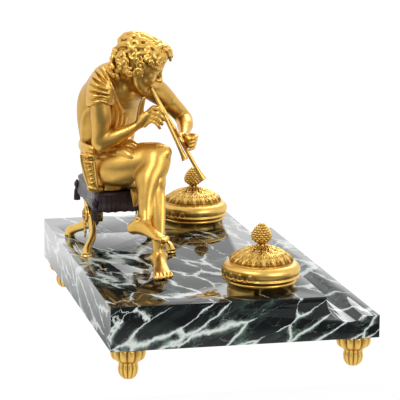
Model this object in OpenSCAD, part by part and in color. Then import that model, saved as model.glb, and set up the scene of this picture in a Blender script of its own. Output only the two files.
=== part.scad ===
// Desk inkstand: a marble slab on four gadrooned feet, with a pen groove, two hinged inkwells,
// and a youth who sits on a curule stool and plays a double pipe. Millimetres, +Z up.
// The origin is on the table, under the middle of the slab. X runs along the slab, -Y is the pen
// groove's side.

/* [Marble slab] */
// Length of the slab
slab_l = 330; // [310:1:350]
// Depth of the slab, from the pen groove to the back
slab_w = 220; // [205:1:235]
// Thickness of the slab
slab_t = 36; // [33:0.5:42]
// Radius of the pen groove
groove_r = 19.5; // [16:0.5:21]
// How far the pen groove sinks below the top
groove_depth = 21.9; // [16:0.1:24]
// Distance of the groove's middle from the front edge
groove_inset = 25.5; // [22:0.5:28]
// Height of the front lip, measured down from the top
lip_drop = 17.6; // [12:0.1:19]

/* [Feet] */
// Height of a foot
foot_h = 26; // [22:0.5:32]
// Radius of a foot's lobed cap
foot_cap_r = 14.4; // [12:0.1:16]
// Radius of a foot's lobed bulb
foot_bulb_r = 8.3; // [7:0.1:10]
// Radius of the flat that a foot stands on
foot_pad_r = 4.2; // [3.5:0.1:5.5]
// Lobes round a foot
foot_lobes = 12; // [8:1:16]
// Distance of a foot's axis from the slab's end
foot_inset_x = 15; // [15:0.5:24]
// Distance of a foot's axis from the slab's front or back
foot_inset_y = 17; // [15.5:0.5:24]
// Radius of the stud that holds a foot
stud_r = 3; // [2.5:0.1:3.5]
// How far a stud reaches into the slab
stud_in_slab = 12; // [8:0.5:14]
// How far a stud reaches into its foot
stud_in_foot = 15; // [8:0.5:17]

/* [Inkwells] */
// Distance of a well's axis from the slab's end
well_end = 43.4; // [40:0.1:52]
// Distance of the wells' axes from the slab's front edge
well_inset = 87.7; // [82:0.1:95]
// Radius of the bore in the marble
well_bore_r = 24.5; // [23.5:0.1:25.5]
// Depth of the bore in the marble
well_bore_depth = 31; // [28:0.5:32]
// Radius of the collar's plain band
collar_band_r = 27.3; // [26.6:0.1:28]
// Height of the collar's plain band
collar_band_h = 4.3; // [3.5:0.1:4.8]
// Radius of the collar's bright bead, outside
collar_bead_r = 28.7; // [28.2:0.1:29]
// Thickness of that bead
collar_bead_t = 3.7; // [3:0.1:3.9]
// Height of the collar's top land
collar_h = 8.8; // [8.4:0.1:9.4]
// Inner radius of the collar
collar_bore_r = 21.6; // [21.4:0.1:22]
// Length of the collar's spigot in the marble
spigot_h = 6; // [4:0.5:9]
// Outer radius of the inkpot's body
inkpot_r = 21.2; // [19:0.1:21.3]
// Radius of the inkpot's rim
inkpot_rim_r = 23.3; // [22.6:0.1:23.4]
// Wall of the inkpot
inkpot_wall = 2.4; // [1.8:0.1:3.2]
// Depth of the inkpot below the marble's top
inkpot_depth = 30; // [24:0.5:30.5]

/* [Lids] */
// Radius of a lid at its widest
lid_r = 31.8; // [31.4:0.1:32.4]
// Height of a lid's shoulder above the marble
lid_shoulder_h = 20.7; // [19.5:0.1:22]
// Radius of the chased disc on a lid
lid_disc_r = 25.7; // [25.3:0.1:26.5]
// Height of that disc's edge
lid_disc_t = 3.9; // [3:0.1:4.6]
// Height of a lid's crown above the marble
lid_crown_h = 34; // [32:0.1:36]
// Wall of a lid
lid_wall = 2.6; // [2:0.1:3]
// Gap between a lid and its collar
lid_gap = 0.2; // [0.1:0.05:0.4]
// Distance of the hinge axis from the well's axis
hinge_y = 30.4; // [30.2:0.1:30.8]
// Radius of the hinge barrels
hinge_barrel_r = 1.4; // [1.3:0.05:1.5]
// Radius of the hinge pin
hinge_pin_r = 0.6; // [0.5:0.05:0.7]
// Length of the lid's barrel
hinge_mid_l = 5; // [4:0.1:6]
// Length of each of the collar's barrels
hinge_end_l = 3; // [2.5:0.1:4]

/* [Pine cone finials] */
// Height of a pine cone
cone_h = 15.9; // [14:0.1:18]
// Radius of a pine cone at its widest
cone_r = 7.6; // [6.6:0.1:8.6]
// Height of the stem under a pine cone
stem_h = 2.6; // [2:0.1:4]
// Radius of the finial's tenon
tenon_r = 1.5; // [1.2:0.1:1.8]
// Thickness of the nut under a lid
nut_t = 2.4; // [2:0.1:2.8]

/* [Stool] */
// Length of the cushion
seat_l = 93; // [86:0.5:98]
// Depth of the cushion
seat_w = 62; // [58:0.5:66]
// Height of the cushion's top above the marble
seat_h = 57; // [54:0.5:62]
// Thickness of the cushion
seat_t = 17; // [14:0.5:20]
// Distance of the cushion's middle from the slab's middle, along X
seat_x = 51.5; // [48:0.5:56]
// Distance of the cushion's middle from the slab's middle, along Y
seat_y = 61; // [58:0.5:64]
// Distance between the two crossed frames
frame_pitch = 46; // [42:0.5:48]
// Height of the crossings above the marble
hub_h = 27.5; // [26:0.5:29]
// Radius of the round eye at each crossing
hub_r = 7; // [6:0.1:7.5]
// Radius of the bolt through each crossing
hub_bolt_r = 2.2; // [1.8:0.1:2.6]
// Thickness of a leg, along Y
leg_t = 5.4; // [4.8:0.1:5.8]
// Width of a leg
leg_w = 6.2; // [5:0.1:7]
// How far a leg's foot stands out from its crossing, along X
leg_spread_x = 43; // [38:0.5:46]
// How far a leg's foot stands out from its crossing, along Y
leg_spread_y = 14; // [10:0.5:16]
// Length of a tassel
tassel_l = 19; // [16:0.5:22]

/* [Figure] */
// Height of the figure above the cushion
sitter_h = 139; // [135:0.5:143]
// Radius of the double pipe's two tubes
pipe_r = 1.45; // [1.2:0.05:1.6]
// Radius of the pipes' flared ends
pipe_bell_r = 3.2; // [2.6:0.1:3.8]

/* [Hidden] */
$fn = 64;
// Clearance of a screw or stud in its hole
hole_gap = 0.05;
// Clearance of the hinge pin in the lid's barrel
pin_gap = 0.05;
// Gap between barrels, and between legs that lie side by side
side_gap = 0.1;
// Clearance of a casting that lies close to another one
cast_gap = 0.25;

GILT = "#c99a2e";
MARBLE = "#27332e";
DARK_BRONZE = "#3a2a26";
STEEL = "#8c8f92";
PORCELAIN = "#e9e6dc";

top_z = foot_h + slab_t;
well_x = slab_l / 2 - well_end;
well_y = -slab_w / 2 + well_inset;
foot_x = slab_l / 2 - foot_inset_x;
foot_y = slab_w / 2 - foot_inset_y;
groove_y = -slab_w / 2 + groove_inset;
seat_top = top_z + seat_h;
seat_under = seat_top - seat_t;
hub_z = top_z + hub_h;
land_z = collar_h + lid_gap;
ceiling_h = lid_crown_h - lid_wall - 0.9;
// The figure is sculpted for this height, and grows from the cushion's top
sitter_k = sitter_h / 139;

// ---- Shapes that several pieces share ----

function unit(v) = v / norm(v);
function mix(a, b, t) = a + (b - a) * t;
function xyz(r) = [r[0], r[1], r[2]];

// Rows between the given rows, on a smooth curve through them
function smooth(s, steps) = [
  for (i = [0 : len(s) - 2], j = [0 : steps - 1])
    let (a = s[max(i - 1, 0)], b = s[i], c = s[i + 1], d = s[min(i + 2, len(s) - 1)], t = j / steps)
      0.5 * (2 * b + (c - a) * t + (2 * a - 5 * b + 4 * c - d) * t * t + (3 * b - a - 3 * c + d)
        * t * t * t),
  s[len(s) - 1]];

// A closed solid through rings that have the same number of points
module loft(rings) {
  n = len(rings[0]);
  m = len(rings);
  sides = [for (j = [0 : m - 2], i = [0 : n - 1])
    let (a = j * n + i, b = j * n + (i + 1) % n) each [[a, a + n, b + n], [a, b + n, b]]];
  ends = [[for (i = [0 : n - 1]) i], [for (i = [n - 1 : -1 : 0]) (m - 1) * n + i]];
  polyhedron([for (r = rings) each r], concat(sides, ends));
}

// A limb: rows of centre x, y, z and half sizes, the first along side_dir and the second across it
module limb(rows, side_dir = [0, 1, 0], steps = 2, sides = 12) {
  s = smooth(rows, steps);
  m = len(s);
  loft([for (i = [0 : m - 1])
    let (t = unit(xyz(s[min(i + 1, m - 1)]) - xyz(s[max(i - 1, 0)])),
      u = unit(side_dir - (side_dir * t) * t), v = cross(t, u))
      [for (k = [0 : sides - 1])
        xyz(s[i]) + s[i][3] * cos(360 * k / sides) * u + s[i][4] * sin(360 * k / sides) * v]]);
}

// A finger, toe or lock: a straight run between two balls
module digit(a, b, ra, rb) {
  hull() {
    translate(a) sphere(ra, $fn = 6);
    translate(b) sphere(rb, $fn = 6);
  }
}

// A digit that bends once
module bent_digit(a, b, c, r) {
  digit(a, b, r, r * 0.95);
  digit(b, c, r * 0.95, r * 0.8);
}

// Points of an arc, from angle a to angle b
function arc(cx, cy, r, a, b, n) = [for (i = [0 : n]) let (w = a + (b - a) * i / n) [cx + r * cos(w),
  cy + r * sin(w)]];

// ---- Marble slab and its feet ----

foot_places = [[-foot_x, -foot_y], [foot_x, -foot_y], [-foot_x, foot_y], [foot_x, foot_y]];
stool_foot_places = [for (d = [-1, 1], s = [-1, 1])
  [seat_x + s * leg_spread_x, seat_y + d * (frame_pitch / 2 + leg_spread_y)]];
screw_r = 1.5;
screw_head_r = 3.4;
screw_head_h = 2.6;
screw_sink = 9;
screw_bite = 4.5;
// The screw that holds the standing foot, in the figure's own plan
sole_screw = [seat_x - 113.5 * sitter_k, seat_y - 12.8 * sitter_k];

module screw_hole(p) {
  translate([p[0], p[1], foot_h - 1]) cylinder(h = slab_t + 2, r = screw_r + 0.4);
  translate([p[0], p[1], foot_h - 1]) cylinder(h = screw_sink + 1, r = screw_head_r + 0.6);
}

module marble_slab() color(MARBLE) difference() {
  translate([-slab_l / 2, -slab_w / 2, foot_h]) cube([slab_l, slab_w, slab_t]);
  translate([0, groove_y, top_z - groove_depth + groove_r]) rotate([0, 90, 0])
    cylinder(h = slab_l + 2, r = groove_r, center = true, $fn = 96);
  translate([-slab_l / 2 - 1, -slab_w / 2 - 1, top_z - lip_drop]) cube([slab_l + 2, groove_inset + 1,
    slab_t]);
  for (x = [-well_x, well_x]) translate([x, well_y, top_z - well_bore_depth])
    cylinder(h = well_bore_depth + 1, r = well_bore_r);
  for (p = foot_places) translate([p[0], p[1], foot_h - 1]) cylinder(h = stud_in_slab + 2,
    r = stud_r + hole_gap);
  for (p = stool_foot_places) screw_hole(p);
  screw_hole(sole_screw);
}

// Rows of a foot: depth below the slab and radius
foot_rows = [[0, foot_cap_r - 1.2], [2, foot_cap_r], [7, foot_cap_r], [10.4, foot_cap_r - 1.9],
  [12, foot_bulb_r + 0.6], [13.8, foot_bulb_r - 0.5], [foot_h * 0.7, foot_bulb_r], [foot_h * 0.9,
    foot_bulb_r - 1.6],
  [foot_h, foot_pad_r]];
lobe_depth = 0.13;

module foot_at(p) color(GILT) difference() {
  translate([p[0], p[1], foot_h]) mirror([0, 0, 1])
    loft([for (row = foot_rows) [for (i = [3 * foot_lobes - 1 : -1 : 0])
      let (w = 360 * (i + 0.5) / (3 * foot_lobes),
        r = row[1] * (1 - lobe_depth * (1 - abs(cos(foot_lobes * w / 2)))))
        [r * cos(w), r * sin(w), row[0]]]]);
  translate([p[0], p[1], foot_h - stud_in_foot - 1]) cylinder(h = stud_in_foot + 2, r = stud_r + hole_gap);
}

module foot_front_left() foot_at(foot_places[0]);
module foot_front_right() foot_at(foot_places[1]);
module foot_back_left() foot_at(foot_places[2]);
module foot_back_right() foot_at(foot_places[3]);

module foot_studs() color(STEEL) for (p = foot_places)
  translate([p[0], p[1], foot_h - stud_in_foot]) cylinder(h = stud_in_foot + stud_in_slab, r = stud_r);

// ---- Inkwells ----

module at_well(s) translate([s * well_x, well_y, top_z]) children();

seat_step_z = 5;
hinge_z = land_z - 0.05;
lug_h = 2.4;
// How far the bead is sunk into the band below it
bead_sink = 0.4;
hinge_pin_l = hinge_mid_l + 2 * (side_gap + hinge_end_l);

module hinge_barrel(l) rotate([0, 90, 0]) cylinder(h = l, r = hinge_barrel_r, center = true, $fn = 32);

module well_collar(s) color(GILT) at_well(s) difference() {
  union() {
    rotate_extrude($fn = 96) difference() {
      union() {
        translate([collar_bore_r, 0]) square([collar_band_r - collar_bore_r, collar_band_h]);
        translate([collar_bore_r, 0]) square([collar_band_r - 0.6 - collar_bore_r, collar_h]);
        translate([collar_bead_r - collar_bead_t / 2, collar_band_h + collar_bead_t / 2 - bead_sink])
          circle(collar_bead_t / 2);
        translate([collar_bore_r, -spigot_h]) square([well_bore_r - cast_gap - collar_bore_r,
          spigot_h + 1]);
      }
      translate([collar_bore_r - 1, seat_step_z])
        square([inkpot_rim_r + cast_gap - collar_bore_r + 1, collar_h]);
    }
    for (side = [-1, 1]) translate([side * (hinge_mid_l / 2 + side_gap + hinge_end_l / 2), 0, 0]) {
      translate([0, hinge_y, hinge_z]) hinge_barrel(hinge_end_l);
      translate([-hinge_end_l / 2, collar_band_r - 1.5, hinge_z - 0.3 - lug_h])
        cube([hinge_end_l, hinge_y - collar_band_r + 1.5, lug_h]);
    }
  }
  translate([0, hinge_y, hinge_z]) rotate([0, 90, 0]) cylinder(h = hinge_pin_l + 2, r = hinge_pin_r,
    center = true, $fn = 32);
}

module left_well_collar() well_collar(-1);
module right_well_collar() well_collar(1);

inkpot_rim_t = 2;

module inkpot(s) color(PORCELAIN) at_well(s) rotate_extrude($fn = 96) difference() {
  union() {
    translate([0, -inkpot_depth]) square([inkpot_r, inkpot_depth + seat_step_z + inkpot_rim_t]);
    translate([0, seat_step_z]) square([inkpot_rim_r, inkpot_rim_t]);
  }
  translate([-1, -inkpot_depth + inkpot_wall]) square([inkpot_r - inkpot_wall + 1, inkpot_depth + 20]);
}

module left_inkpot() inkpot(-1);
module right_inkpot() inkpot(1);

rim_lip_h = 1.5;
rim_neck_h = 3.2;
// The lid's outline from its bottom land up over the shoulder and the chased disc to the crown
shoulder_r = lid_r - lid_disc_r - 0.3;
lid_shoulder_z = lid_shoulder_h - shoulder_r;
disc_top = lid_shoulder_h + lid_disc_t;
crown_pad_r = 4.2;

function lid_outline() = concat(
  [[0, land_z], [lid_r - 0.7, land_z], [lid_r - 0.1, land_z + rim_lip_h / 2], [lid_r - 0.7,
    land_z + rim_lip_h],
    [lid_r - 1.1, land_z + rim_neck_h - 0.9], [lid_r - 0.4, land_z + rim_neck_h]],
  arc(lid_r - shoulder_r, lid_shoulder_z, shoulder_r, 0, 88, 7),
  [[lid_disc_r - 0.4, lid_shoulder_h], [lid_disc_r, lid_shoulder_h + 0.6], [lid_disc_r, disc_top - 1.1],
    [lid_disc_r - 1.2, disc_top], [lid_disc_r * 0.72, disc_top + 3.1], [lid_disc_r * 0.42, disc_top + 5.9],
    [crown_pad_r + 0.6, lid_crown_h - 1.2], [crown_pad_r, lid_crown_h], [0, lid_crown_h]]);

function lid_hollow() = [[0, 0], [well_bore_r - 1.1, 0], [well_bore_r - 1.1, lid_shoulder_h - lid_wall],
  [lid_disc_r * 0.72, disc_top + 3.1 - lid_wall - 1], [lid_disc_r * 0.36, disc_top + 5.7 - lid_wall],
  [crown_pad_r + 0.2, ceiling_h], [0, ceiling_h]];

module lid(s) color(GILT) at_well(s) difference() {
  union() {
    difference() {
      rotate_extrude($fn = 96) polygon(lid_outline());
      rotate_extrude($fn = 96) polygon(lid_hollow());
      for (side = [-1, 1]) translate([side * (hinge_mid_l / 2 + side_gap + hinge_end_l / 2), hinge_y,
        hinge_z])
        cube([hinge_end_l + 2 * side_gap, 2 * hinge_barrel_r + 1.6, 2 * hinge_barrel_r + 0.8],
          center = true);
    }
    translate([0, hinge_y, hinge_z]) hinge_barrel(hinge_mid_l);
  }
  translate([0, hinge_y, hinge_z]) rotate([0, 90, 0])
    cylinder(h = hinge_mid_l + side_gap, r = hinge_pin_r + pin_gap, center = true, $fn = 32);
  cylinder(h = 60, r = tenon_r + hole_gap, $fn = 32);
}

module left_lid() lid(-1);
module right_lid() lid(1);

module hinge_pin(s) color(STEEL) at_well(s) translate([0, hinge_y, hinge_z]) rotate([0, 90, 0])
  cylinder(h = hinge_pin_l, r = hinge_pin_r, center = true, $fn = 32);

module left_hinge_pin() hinge_pin(-1);
module right_hinge_pin() hinge_pin(1);

// Rows of a pine cone: share of its height and share of its widest radius
cone_rows = [[0, 0.34], [0.06, 0.62], [0.15, 0.88], [0.27, 1], [0.4, 0.99], [0.53, 0.9], [0.66, 0.76],
  [0.79, 0.57], [0.91, 0.34], [1, 0.12]];
scale_relief = 0.07;

module finial(s) color(GILT) at_well(s) {
  cone_z = lid_crown_h + stem_h;
  translate([0, 0, cone_z]) loft([for (j = [0 : len(cone_rows) - 1]) [for (i = [0 : 15])
    let (r = cone_r * cone_rows[j][1] * (1 + scale_relief * ((i + j) % 2 == 0 ? 1 : -1)))
      [r * cos(22.5 * i), r * sin(22.5 * i), cone_h * cone_rows[j][0]]]]);
  translate([0, 0, ceiling_h - nut_t - 0.6]) cylinder(h = cone_z - ceiling_h + nut_t + 1.6,
    r = tenon_r, $fn = 32);
  translate([0, 0, lid_crown_h]) cylinder(h = 1.2, r1 = crown_pad_r - 0.4, r2 = 2.6, $fn = 48);
  translate([0, 0, lid_crown_h + 1.2]) cylinder(h = stem_h - 0.9, r1 = 1.9, r2 = 2.3, $fn = 48);
}

module left_finial() finial(-1);
module right_finial() finial(1);

module finial_nut(s) color(GILT) at_well(s) translate([0, 0, ceiling_h - nut_t]) difference() {
  cylinder(h = nut_t, r = 3.4, $fn = 6);
  translate([0, 0, -1]) cylinder(h = nut_t + 2, r = tenon_r, $fn = 32);
}

module left_finial_nut() finial_nut(-1);
module right_finial_nut() finial_nut(1);

// ---- Stool ----

tassel_r = 3.2;
arm_reach = 27;
arm_tenon_r = 2;
arm_tenon_h = 5;
seat_bolt_place = [seat_x - 31.5 * sitter_k, seat_y + 14 * sitter_k];
seat_bolt_r = 2;
seat_bolt_bite = 9;

// Rows of the cushion: height above its underside and how far its outline lies inside the widest one
cushion_rows = [[0, 3.4], [1.2, 1.2], [seat_t * 0.28, 0.2], [seat_t * 0.5, 0], [seat_t * 0.74, 0.5],
  [seat_t * 0.88, 2.6], [seat_t * 0.95, 7], [seat_t, 15]];
cushion_pull = 1.8;
// The outline is a squared oval of this power, whose corners lie at this share of its half sizes
cushion_power = 9;
corner_share = pow(0.5, 1 / cushion_power);

module cushion_form() translate([seat_x, seat_y, seat_under])
  loft([for (row = cushion_rows) [for (i = [0 : 43])
    let (w = 360 * i / 44, c = cos(w), q = sin(w),
      k = 1 / pow(pow(abs(c), cushion_power) + pow(abs(q), cushion_power), 1 / cushion_power),
        corner = abs(sin(2 * w)),
      a = seat_l / 2 - row[1] - cushion_pull * (1 - corner),
        b = seat_w / 2 - row[1] - cushion_pull * (1 - corner))
      [a * k * c, b * k * q, row[0]]]]);

module stool_cushion() color(DARK_BRONZE) difference() {
  cushion_form();
  for (d = [-1, 1], s = [-1, 1])
    translate([seat_x + s * arm_reach, seat_y + d * frame_pitch / 2, seat_under - 1])
      cylinder(h = arm_tenon_h + 1.2, r = arm_tenon_r + hole_gap, $fn = 32);
  translate([seat_bolt_place[0], seat_bolt_place[1], seat_under - 1]) cylinder(h = seat_t + 2,
    r = seat_bolt_r + 0.1, $fn = 32);
}

module cushion_tassels() color(DARK_BRONZE) for (d = [-1, 1], s = [-1, 1])
  translate([seat_x + s * (corner_share * seat_l / 2 + tassel_r * 0.35),
    seat_y + d * (corner_share * seat_w / 2 + tassel_r * 0.35),
    seat_under + seat_t * 0.5 - tassel_l + 2])
    rotate_extrude($fn = 32) polygon([[0, 0], [tassel_r, 0], [tassel_r * 0.92, tassel_l * 0.45],
      [tassel_r * 0.62, tassel_l * 0.6],
      [tassel_r * 0.85, tassel_l * 0.74], [tassel_r * 0.7, tassel_l * 0.88], [0, tassel_l]]);

// One leg, which crosses its frame: side s is where its foot stands, d is the frame, layer is its
// place at the crossing
module stool_leg(s, d, layer) color(GILT) {
  y0 = layer * (leg_t / 2 + side_gap / 2);
  a = leg_w / 2;
  b = leg_t / 2;
  down = hub_h / 27.5;
  out = leg_spread_x / 43;
  wide = leg_spread_y / 14;
  rise = seat_under - hub_z;
  translate([seat_x, seat_y + d * frame_pitch / 2, hub_z]) difference() {
    union() {
      translate([0, y0, 0]) rotate([90, 0, 0]) cylinder(h = leg_t, r = hub_r, center = true, $fn = 48);
      limb([[s * 2, y0, -2, a, b], [s * 11, y0, -8, a, b], [s * 22 * out, mix(y0, d * 5 * wide, 0.7),
        -14 * down, a * 0.85, b],
        [s * 33 * out, d * 9.5 * wide, -19.5 * down, a * 0.85, b * 0.95], [s * 40 * out,
          d * 13 * wide, -23 * down, a * 0.95, b],
        [s * 43 * out, d * 14 * wide, -hub_h + 1.5, a * 1.1, b * 1.15]], side_dir = [0, 0, 1], sides = 8);
      limb([[-s * 2, y0, 2, a, b], [-s * 11, y0, 5.5, a * 0.9, b], [-s * 20, y0 * 0.6, 8, a * 0.8, b],
        [-s * arm_reach, 0, rise - 1.8, a * 0.75, b]], side_dir = [0, 0, 1], sides = 8);
      translate([s * leg_spread_x, d * leg_spread_y, -hub_h]) cylinder(h = screw_bite + 1.2, r = 4,
        $fn = 48);
      translate([-s * arm_reach, 0, rise - 2.6]) cylinder(h = 2.6, r = 3.6, $fn = 48);
      translate([-s * arm_reach, 0, rise - 1]) cylinder(h = arm_tenon_h + 1, r = arm_tenon_r, $fn = 32);
    }
    rotate([90, 0, 0]) cylinder(h = 30, r = hub_bolt_r + hole_gap, center = true, $fn = 32);
    translate([s * leg_spread_x, d * leg_spread_y, -hub_h - 1]) cylinder(h = screw_bite + 1.05,
      r = screw_r, $fn = 32);
    translate([0, 0, -hub_h - 5]) cube([200, 200, 10], center = true);
  }
}

module stool_leg_back_left() stool_leg(-1, 1, 1);
module stool_leg_back_right() stool_leg(1, 1, -1);
module stool_leg_front_left() stool_leg(-1, -1, -1);
module stool_leg_front_right() stool_leg(1, -1, 1);

cap_t = 1.9;

// The bolt at a crossing: a rosette on the outside, its shank through both legs, and a leaf that
// hangs below
module stool_hub(d) color(GILT) translate([seat_x, seat_y + d * frame_pitch / 2, hub_z])
  rotate([-90 * d, 0, 0]) {
  cap_y = leg_t + side_gap;
  translate([0, 0, -cap_y - cap_t]) cylinder(h = 2 * cap_y + cap_t + 1, r = hub_bolt_r, $fn = 32);
  translate([0, 0, cap_y]) cylinder(h = cap_t, r = hub_r, $fn = 48);
  translate([0, 0, cap_y + cap_t - 0.2]) cylinder(h = 1.3, r1 = 4.4, r2 = 2.4, $fn = 48);
  leaf = [[4.5, 1, 1.6, 0.9], [8, 1.1, 2.6, 1], [12, 0.8, 2.9, 1], [17, 0.8, 1.8, 0.9], [21, 1.3,
    0.4, 0.4]];
  limb([for (r = leaf) [0, d * r[0], cap_y + r[1], r[2], r[3]]], side_dir = [1, 0, 0], sides = 8);
}

module stool_hub_back() stool_hub(1);
module stool_hub_front() stool_hub(-1);

module stool_hub_nuts() color(GILT) for (d = [-1, 1])
  translate([seat_x, seat_y + d * frame_pitch / 2, hub_z]) rotate([90 * d, 0, 0])
    translate([0, 0, leg_t + side_gap]) difference() {
      cylinder(h = cap_t, r = hub_r, $fn = 48);
      translate([0, 0, -1]) cylinder(h = cap_t + 2, r = hub_bolt_r, $fn = 32);
    }

module slab_screw(p, bite) color(STEEL) translate([p[0], p[1], foot_h]) {
  translate([0, 0, screw_sink]) cylinder(h = slab_t - screw_sink + bite, r = screw_r, $fn = 32);
  translate([0, 0, screw_sink - screw_head_h]) cylinder(h = screw_head_h, r = screw_head_r, $fn = 32);
}

module stool_foot_screws() for (p = stool_foot_places) slab_screw(p, screw_bite);

washer_t = 1.4;

module seat_bolt() color(STEEL) translate([seat_bolt_place[0], seat_bolt_place[1], seat_under]) {
  translate([0, 0, -washer_t]) cylinder(h = seat_t + washer_t + seat_bolt_bite, r = seat_bolt_r, $fn = 32);
  translate([0, 0, -washer_t - 2.4]) cylinder(h = 2.4, r = 3.8, $fn = 6);
}

module seat_washer() color(STEEL) translate([seat_bolt_place[0], seat_bolt_place[1],
  seat_under - washer_t]) difference() {
  cylinder(h = washer_t, r = 5.2, $fn = 32);
  translate([0, 0, -1]) cylinder(h = washer_t + 2, r = seat_bolt_r + hole_gap, $fn = 32);
}

// ---- Figure ----
// Its points are measured from the middle of the cushion's top, and its standing foot's from the
// marble below that point

module on_seat() translate([seat_x, seat_y, seat_top]) scale(sitter_k) children();
// A point that is given from the marble's top, in the figure's own measure
function g(r) = [r[0], r[1], (r[2] - seat_h) / sitter_k, for (i = [3 : 1 : len(r) - 1]) r[i]];

chest_side = [-0.42, 0.91, 0];

tunic_rows = [[-28.5, 16, -1.8, 24, 19], [-28.5, 16.5, 7, 26.5, 21], [-28.5, 17, 21, 27, 20.5],
  [-28.5, 17, 32, 25.5, 18.5],
  [-29, 16, 42, 27, 19.5], [-30.5, 16, 53, 27, 19], [-33, 15.5, 65, 26.5, 18.5], [-37.5, 13, 77,
    25.5, 16.5],
  [-45.5, 7.5, 87, 21, 13.5], [-52.5, 4, 94, 12, 9], [-54.5, 3, 99, 8.6, 7.4]];
lap_rows = [[-37.5, 13, 27, 24, 17], [-51.5, 3, 32, 20, 14], [-61.5, -5, 35, 15.5, 10], [-68.5, -10,
  38, 8, 6]];
right_sleeve_rows = [[-52.5, 17, 102, 8, 8], [-54.5, 22, 97, 11.5, 11.5], [-57, 26.5, 88, 13, 12.4],
  [-58.5, 28.4, 77.5, 12.2, 11.4]];
left_sleeve_rows = [[-47.5, -11, 94, 8, 8], [-43.5, -18, 90, 10.5, 10], [-39.5, -24, 85, 10.4, 10],
  [-36.5, -30.5, 79.5, 9.2, 9],
  [-34, -37, 73, 8.3, 8.1]];
// The cloth bunched round the nape
nape_rows = [[-43.5, 28, 90, 8, 8], [-46.5, 21, 99, 10, 10], [-49.5, 14, 102.5, 9.5, 9.5], [-52.5, 7,
  101, 8, 8]];
hip_roll_rows = [[-17.5, 38, 34, 2, 3], [-35.5, 43, 35, 3.4, 4], [-53.5, 39.5, 34, 3.6, 4.4], [-59.5,
  27, 33, 2.6, 3.4]];

module tunic_form() {
  limb(tunic_rows, side_dir = chest_side, sides = 16);
  limb(lap_rows, side_dir = [-0.55, 0.8, 0], sides = 12);
  limb(nape_rows, side_dir = [1, 0, 0], sides = 10);
  limb(right_sleeve_rows, side_dir = [1, 0, 0], sides = 12);
  limb(left_sleeve_rows, side_dir = [1, 0, 0], sides = 12);
  limb(hip_roll_rows, side_dir = [0.3, 0.9, 0], sides = 8);
}

// Pleats that fan over the right shoulder, and gathers under the neck cord
module pleats() {
  for (i = [0 : 4]) let (w = -62 + i * 26)
    digit([-53.5, 22, 99] + [5 * sin(w), 0, 0], [-59.5, 30, 83] + [12.2 * sin(w), 11.2 * cos(w), 0],
      1.7, 1.5);
  for (i = [0 : 4]) digit([-51.5, -6, 74] + [0.3 * i, 3.6 * i, -2.4 * i], [-48.5, -5, 61] + [0.2 * i,
    3.4 * i, -1.2 * i], 2.4, 2.6);
}

module figure_tunic() color(GILT) difference() {
  on_seat() {
    tunic_form();
    pleats();
  }
  cushion_form();
  translate([seat_bolt_place[0], seat_bolt_place[1], seat_top - 5])
    cylinder(h = seat_bolt_bite + 5.2, r = seat_bolt_r + 0.1, $fn = 24);
}

// The head's own frame: it looks along head_look and is centred on head_place
head_place = [-65.5, -4.3, 112.5];
// The head is this much larger than the sizes in its own frame
head_k = 1.3;
head_look = unit([-0.22, -0.85, -0.42]);
head_up = unit([0, 0, 1] - head_look[2] * head_look);
head_side = cross(head_look, head_up);

module in_head() translate(head_place)
  multmatrix([for (i = [0 : 2]) [head_side[i], head_look[i], head_up[i], 0]]) scale(head_k) children();

skull_rows = [[0, 10.5, -17, 3.4, 3], [0, 9, -14.5, 6.6, 6.4], [0, 6, -10, 9.2, 9.8], [0, 3.5, -4, 11, 13],
  [0, 1.5, 2, 12.4, 15.4], [0, 0, 8, 13, 16.4], [0, -0.6, 12.5, 11.8, 15], [0, -1, 15.6, 8.4, 10.5],
    [0, -1, 17, 3.5, 4.5]];

// Short locks that lie on the skull in rings, each lock a little aslant
module hair() for (row = [0 : 3], i = [0 : 9])
  let (w = 36 * (i + 0.5 * (row % 2)), a = [6.5, 10.5, 12.2, 11.2][row], b = [8, 13.4, 15.4,
    13.6][row], z = [14.6, 11.4, 5, -2][row],
    q = sin(w))
    if (row < 2 || q < [0, 0, 0.5, 0.1][row])
      translate([a * cos(w), b * q - 0.8, z]) rotate([0, 0, w]) digit([0.6, -2.4, 1.2], [1.2, 2.6,
        -1.4], 3.8, 3.2);

module head_form() {
  limb([[-49.5, 6.5, 86, 10, 9], [-53.5, 4.5, 93, 9.4, 9], [-57.5, 2, 101, 9.4, 9.2], [-60.5, -1,
    109, 9, 9]], side_dir = [1, 0, 0], sides = 12);
  in_head() {
    limb(skull_rows, side_dir = [1, 0, 0], sides = 14);
    digit([0, 15.2, 2.5], [0, 17.6, -4.6], 1.4, 2);
    digit([-2.2, 15, -9.4], [2.2, 15, -9.4], 1.6, 1.6);
    hair();
  }
}

module figure_head() color(GILT) difference() {
  on_seat() head_form();
  figure_tunic_envelope();
  pipe_envelope();
}

module figure_tunic_envelope() on_seat() {
  tunic_form();
  pleats();
}

// Right arm: it hangs from the sleeve, bends at the elbow and brings the hand up to the pipes
right_upper_arm = [[-59.5, 28, 88, 8.4, 8.2], [-60, 27.8, 76, 8.6, 8], [-60, 27.6, 63, 8, 7.8],
  [-59.5, 27.6, 51, 7.2, 7.4],
  [-59.1, 27.8, 43, 6.8, 7], [-59, 27.6, 38, 4, 4.4]];
right_forearm = [[-59, 30.5, 40.5, 4.5, 4.5], [-59.5, 27, 42, 7.4, 7.4], [-60.3, 20, 47, 7.8, 7.4],
  [-62, 12.5, 52.4, 6.8, 6.4],
  [-64, 5, 57.6, 5.5, 5.2], [-66.5, -2, 63.6, 4.5, 3.8], [-68.5, -7, 68, 5.4, 3.5], [-70.7, -12.4,
    71, 5, 3]];

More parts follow.
